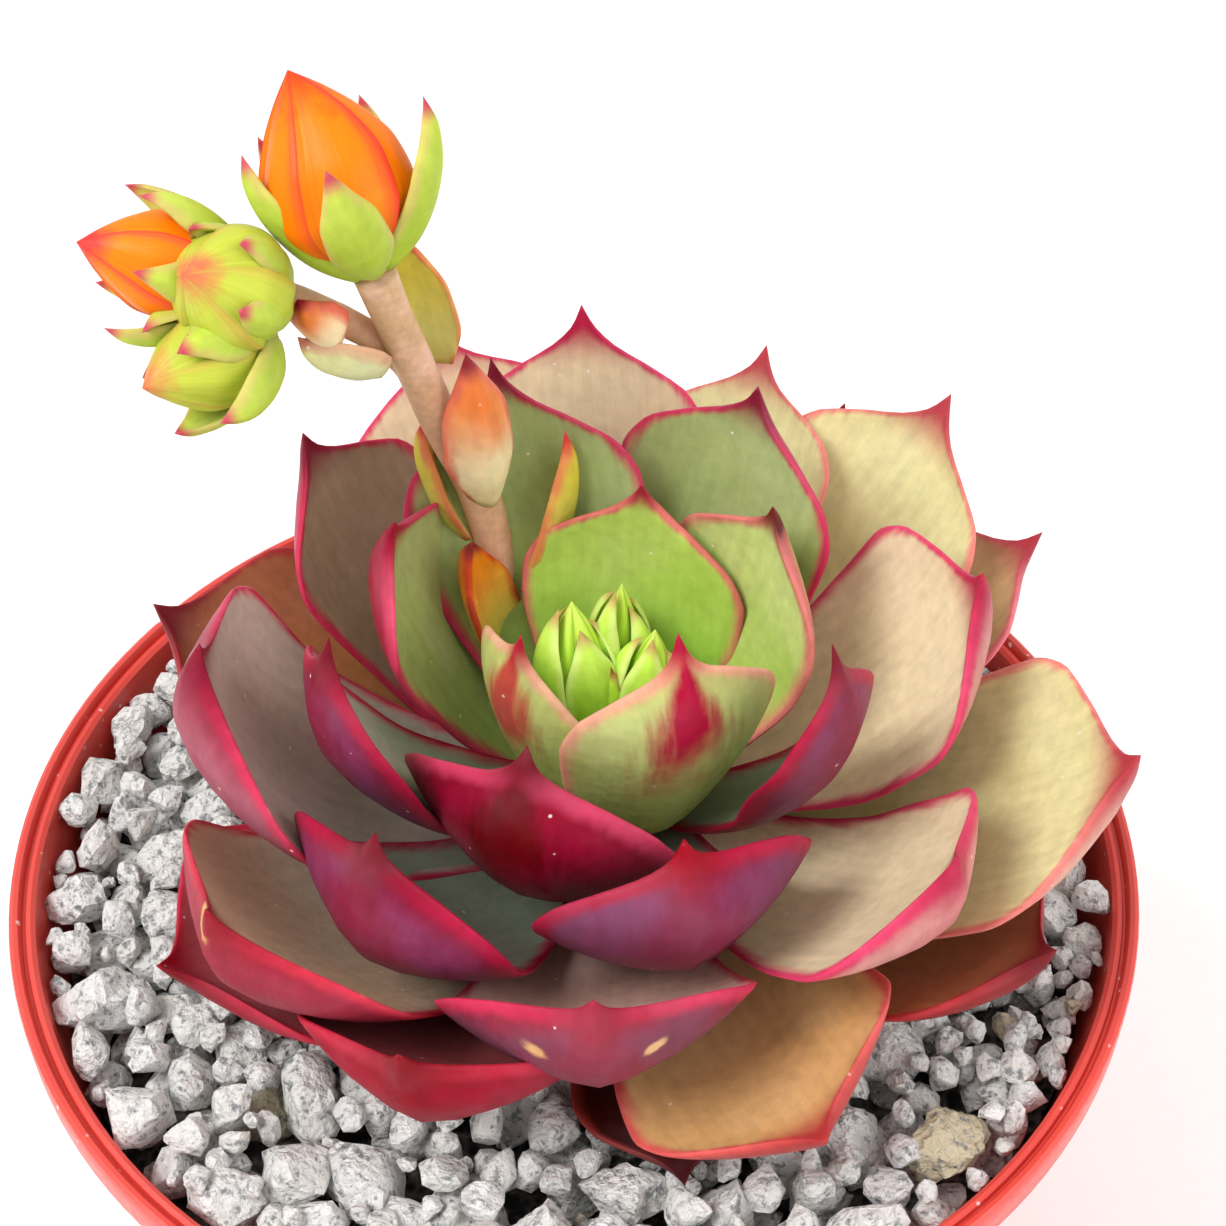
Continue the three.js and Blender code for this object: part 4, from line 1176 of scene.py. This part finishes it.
class SUCCULENT_OT_leaves(bpy.types.Operator):
    """Shape the leaves of the rosette from one blank, the innermost first"""

    bl_idname = "succulent.leaves"
    bl_label = "Leaves"

    def execute(self, context):
        sizes = context.scene.succulent_leaf
        blank = ring_blank(sizes.sides, sizes.rows)
        for index, (nudge, pitch, tip_pitch, length, width, roll, look) in enumerate(LEAVES):
            share = index / (len(LEAVES) - 1)
            azimuth = SPIRAL_START + SPIRAL_STEP * index + nudge
            reach = CROWN_INNER_RADIUS + (CROWN_OUTER_RADIUS - CROWN_INNER_RADIUS) * share
            taper = 1 + INNER_TAPER * max(0, 1 - index / INNER_LEAVES)
            turn = math.radians(azimuth)
            along = lean((math.cos(turn), math.sin(turn), 0))
            inner = lean((0, 0, 1))
            stations = [(place ** taper, wide, thick) for place, wide, thick in LEAF_STATIONS]
            shape = blade_shape(
                crown_point(azimuth, reach, CROWN_HEIGHT * (1 - share)), along, inner, length, pitch,
                tip_pitch - pitch, width, width * sizes.thickness, sizes.cup, roll, stations,
                (LEAF_EDGE_TURN, sizes.keel, sizes.wave / MM, LEAF_CROWDING, index))
            number = f"{index + 1:02d}"
            leaf = shaped(blank, "succulent_leaf_" + number, shape)
            settle(leaf, skin_named(look), "leaf_flesh", "leaf_" + number)
        remove(blank)
        return {"FINISHED"}


class SUCCULENT_OT_stem(bpy.types.Operator):
    """Shape the short stem under the rosette"""

    bl_idname = "succulent.stem"
    bl_label = "Stem"

    def execute(self, context):
        foot = (CROWN_CENTRE[0], CROWN_CENTRE[1] + 1, STEM_BOTTOM)
        middle = crown_point(0, 0, 1)
        top = crown_point(0, 0, CROWN_HEIGHT + 1.5)
        blank = ring_blank(32, 40)
        stem = shaped(blank, "succulent_stem", rod_shape((foot, middle, top), STEM_RADII, bumps=0.08))
        remove(blank)
        bark = stalk_material("succulent_bark", "6a4a34", "8f9a58", "a88a68")
        settle(stem, bark, "stem_bark", "stem")
        return {"FINISHED"}


# ---- the flower stalk ------------------------------------------------------------------------------
class SUCCULENT_OT_stalk(bpy.types.Operator):
    """Shape the flower stalk with its branch and the short stems of the buds"""

    bl_idname = "succulent.stalk"
    bl_label = "Flower stalk"

    def execute(self, context):
        blank = ring_blank(24, 60)
        parts = [
            shaped(blank, "main", rod_shape(STALK, STALK_RADII, 0.05)),
            shaped(blank, "branch", rod_shape(BRANCH, BRANCH_RADII, 0.05, 3)),
        ]
        end = np.array(BRANCH[-1], float)
        for number, base, *_ in BUDS[1:]:
            to_bud = np.array(base) - end
            stop = end + to_bud * (1 - RECEPTACLE_HEIGHT / np.linalg.norm(to_bud))
            line = (end, (end + stop) / 2, stop)
            parts.append(shaped(blank, "pedicel", rod_shape(line, [PEDICEL_RADIUS] * 3)))
        stalk = join(parts, "succulent_flower_stalk")
        remove(blank)
        skin = stalk_material("flower_stalk_skin", "e0a68c", "c8a27c", "e8bca8")
        settle(stalk, skin, "stalk_flesh", "flower_stalk")
        return {"FINISHED"}


class SUCCULENT_OT_bracts(bpy.types.Operator):
    """Shape the bracts on the flower stalk"""

    bl_idname = "succulent.bracts"
    bl_label = "Bracts"

    def execute(self, context):
        blank = ring_blank(24, 28)
        for number, base, tip, way, width, thick, bend, look in BRACTS:
            shape = blade_between(base, tip, way, width, thick, bend, SMALL_BLADE + (40 + number,))
            bract = shaped(blank, f"succulent_bract_{number}", shape)
            settle(bract, skin_named(look, THIN_GLOW), "bract_flesh", f"bract_{number}")
        remove(blank)
        return {"FINISHED"}


def shape_calyx(cup_blank, sepal_blank, number, base, along, side, other, radius,
                long, wide, angles, first_turn):
    """A receptacle with its sepals, which stand out by their angles."""
    half = along * (RECEPTACLE_HEIGHT * 0.5)
    cup_radii = (RECEPTACLE_RADIUS * 0.7, RECEPTACLE_RADIUS * 0.9, RECEPTACLE_RADIUS)
    parts = [shaped(cup_blank, "cup", rod_shape((base - half, base, base + half), cup_radii))]
    for index, out in enumerate(np.radians(angles)):
        turn = math.radians(first_turn + index * 360 / SEPALS)
        outward = side * math.cos(turn) + other * math.sin(turn)
        root = base + outward * (RECEPTACLE_RADIUS * 0.5)
        belly = radius * 0.75 + math.sin(out) * long
        end = base + along * (math.cos(out) * long) + outward * belly
        blade = blade_between(root, end, along - outward, wide, SEPAL_THICKNESS, SEPAL_BEND,
                              SMALL_BLADE + (60 + number * 5 + index,))
        parts.append(shaped(sepal_blank, "sepal", blade))
    return join(parts, f"succulent_calyx_{number}")


class SUCCULENT_OT_buds(bpy.types.Operator):
    """Shape the flower buds, each with five lapping petals in a cup of five sepals"""

    bl_idname = "succulent.buds"
    bl_label = "Flower buds"

    def execute(self, context):
        bud_blank = ring_blank(80, 36)
        sepal_blank = ring_blank(24, 24)
        cup_blank = ring_blank(24, 6)
        green = skin_named("sepal", THIN_GLOW)
        skins = {name: petal_material(name) for name in ("petal_orange", "petal_sunset", "petal_green")}
        for number, base, tip, radius, long, wide, angles, first_turn, look in BUDS:
            base = np.array(base, float)
            tip = np.array(tip, float)
            along = unit(tip - base)
            side = unit(np.cross((0, 0, 1), along))
            other = np.cross(along, side)
            foot = base + along * (RECEPTACLE_HEIGHT * 0.5)
            shape = bud_shape(foot, tip, radius, overlap=0.12, keel=0.05, twist=0.5,
                              start_turn=first_turn + 180 / PETALS_TO_A_BUD)
            petals = shaped(bud_blank, f"succulent_bud_{number}", shape)
            settle(petals, skins[look], "petal", f"bud_{number}_petals")
            calyx = shape_calyx(cup_blank, sepal_blank, number, base, along, side, other, radius,
                                long, wide, angles, first_turn)
            settle(calyx, green, "sepal", f"bud_{number}_calyx")
        remove(bud_blank, sepal_blank, cup_blank)
        return {"FINISHED"}


class SUCCULENT_OT_young_head(bpy.types.Operator):
    """Shape the young flower head deep in the rosette"""

    bl_idname = "succulent.young_head"
    bl_label = "Young flower head"

    def execute(self, context):
        rod_blank = ring_blank(24, 12)
        bud_blank = ring_blank(80, 36)
        blade_blank = ring_blank(24, 28)
        lime = petal_material("petal_young")
        green = skin_named("young", THIN_GLOW)
        pale = skin_named("leaflet", THIN_GLOW)
        stalk = shaped(rod_blank, "succulent_young_stalk",
                       rod_shape((YOUNG_STALK[0], np.mean(YOUNG_STALK, axis=0), YOUNG_STALK[1]),
                                 [YOUNG_STALK_RADIUS] * 3))
        stalk_skin = stalk_material("young_stalk_skin", "9cc03c", "b0d050", "c0dc68")
        settle(stalk, stalk_skin, "young_growth", "young_stalk")
        for number, base, tip, radius in YOUNG_BUDS:
            shape = bud_shape(base, tip, radius * YOUNG_PETAL_SHARE, overlap=0.16, keel=0.08, twist=0.3,
                              start_turn=40 * number)
            bud = shaped(bud_blank, f"succulent_young_bud_{number}", shape)
            settle(bud, lime, "young_growth", f"young_bud_{number}")
            base = np.array(base, float)
            axis = np.array(tip, float) - base
            side = unit(np.cross((0, 1, 0), axis))
            other = np.cross(unit(axis), side)
            parts = []
            for index in range(LEAFLETS):
                turn = 2 * math.pi * (index + 0.3 * number) / LEAFLETS
                outward = side * math.cos(turn) + other * math.sin(turn)
                root = base + outward * (radius * 0.5)
                end = base + axis * (0.84 + 0.07 * (index % 3)) + outward * (radius * 0.34)
                blade = blade_between(root, end, -outward, radius * 1.7, LEAFLET_THICKNESS, LEAFLET_BEND,
                                      SMALL_BLADE + (100 + number * 5 + index,))
                parts.append(shaped(blade_blank, "leaflet", blade))
            leaflets = join(parts, f"succulent_leaflets_{number}")
            settle(leaflets, pale, "young_growth", f"young_bud_{number}")
        base, tip, way, width, thick, bend = YOUNG_BRACT
        bract = shaped(blade_blank, "succulent_young_bract",
                       blade_between(base, tip, way, width, thick, bend, SMALL_BLADE + (90,)))
        settle(bract, green, "young_growth", "young_bract")
        remove(rod_blank, bud_blank, blade_blank)
        return {"FINISHED"}


# ---- stage -----------------------------------------------------------------------------------------
class SUCCULENT_OT_stage(bpy.types.Operator):
    """Lay the floor, hang the lamps and set up the camera"""

    bl_idname = "succulent.stage"
    bl_label = "Stage"

    def execute(self, context):
        sizes = context.scene.succulent_stage
        deselect()
        bpy.ops.mesh.primitive_plane_add(size=FLOOR_SIZE, location=(0, 0, POT_LOW.z))
        floor = context.object
        floor.name = "floor"
        floor.data.materials.append(floor_material(sizes.floor_colour))

        powers = (sizes.key_power, sizes.fill_power)
        for (name, size, spot), power in zip(LAMPS, powers):
            deselect()
            bpy.ops.object.light_add(type="AREA", location=spot)
            lamp = context.object
            lamp.name = name
            lamp.data.energy = power
            lamp.data.shape = "DISK"
            lamp.data.size = size
            lamp.rotation_euler = (Vector(LAMP_AIM) - Vector(spot)).to_track_quat("-Z", "Y").to_euler()

        world = bpy.data.worlds.new("studio")
        world.use_nodes = True
        sky = world.node_tree.nodes["Background"]
        sky.inputs["Color"].default_value = (1, 1, 1, 1)
        sky.inputs["Strength"].default_value = sizes.sky
        context.scene.world = world
        context.scene.view_settings.view_transform = "Standard"

        back = math.cos(sizes.elevation) * sizes.distance
        up = math.sin(sizes.elevation) * sizes.distance
        bpy.ops.object.camera_add(
            location=(sizes.aim_side, -back, sizes.aim_height + up),
            rotation=(math.pi / 2 - sizes.elevation, 0, 0))
        camera = context.object
        camera.data.sensor_width = 36
        camera.data.lens = sizes.lens
        camera.data.clip_start = 0.01
        context.scene.camera = camera
        return {"FINISHED"}


class SUCCULENT_PT_panel(bpy.types.Panel):
    """Lists the steps and their sizes in the sidebar"""

    bl_idname = "SUCCULENT_PT_panel"
    bl_label = "Potted succulent"
    bl_space_type = "VIEW_3D"
    bl_region_type = "UI"
    bl_category = "Succulent"

    def draw(self, context):
        for key, group in GROUPS.items():
            box = self.layout.box()
            for field in group.__annotations__:
                box.prop(getattr(context.scene, key), field)
        for step in STEPS:
            self.layout.operator(step.bl_idname)


STEPS = (
    SUCCULENT_OT_pot,
    SUCCULENT_OT_soil,
    SUCCULENT_OT_stem,
    SUCCULENT_OT_leaves,
    SUCCULENT_OT_stalk,
    SUCCULENT_OT_bracts,
    SUCCULENT_OT_buds,
    SUCCULENT_OT_young_head,
    SUCCULENT_OT_gravel,
    SUCCULENT_OT_stage,
)
CLASSES = (*GROUPS.values(), *STEPS, SUCCULENT_PT_panel)


def register():
    for kind in CLASSES:
        bpy.utils.register_class(kind)
    for key, group in GROUPS.items():
        setattr(bpy.types.Scene, key, bpy.props.PointerProperty(type=group))


def unregister():
    for key in GROUPS:
        delattr(bpy.types.Scene, key)
    for kind in reversed(CLASSES):
        bpy.utils.unregister_class(kind)


def main():
    register()
    bpy.ops.succulent.pot()
    bpy.ops.succulent.soil()
    bpy.ops.succulent.stem()
    bpy.ops.succulent.leaves()
    bpy.ops.succulent.stalk()
    bpy.ops.succulent.bracts()
    bpy.ops.succulent.buds()
    bpy.ops.succulent.young_head()
    bpy.ops.succulent.gravel()
    bpy.ops.succulent.stage()


if __name__ == "__main__":
    main()
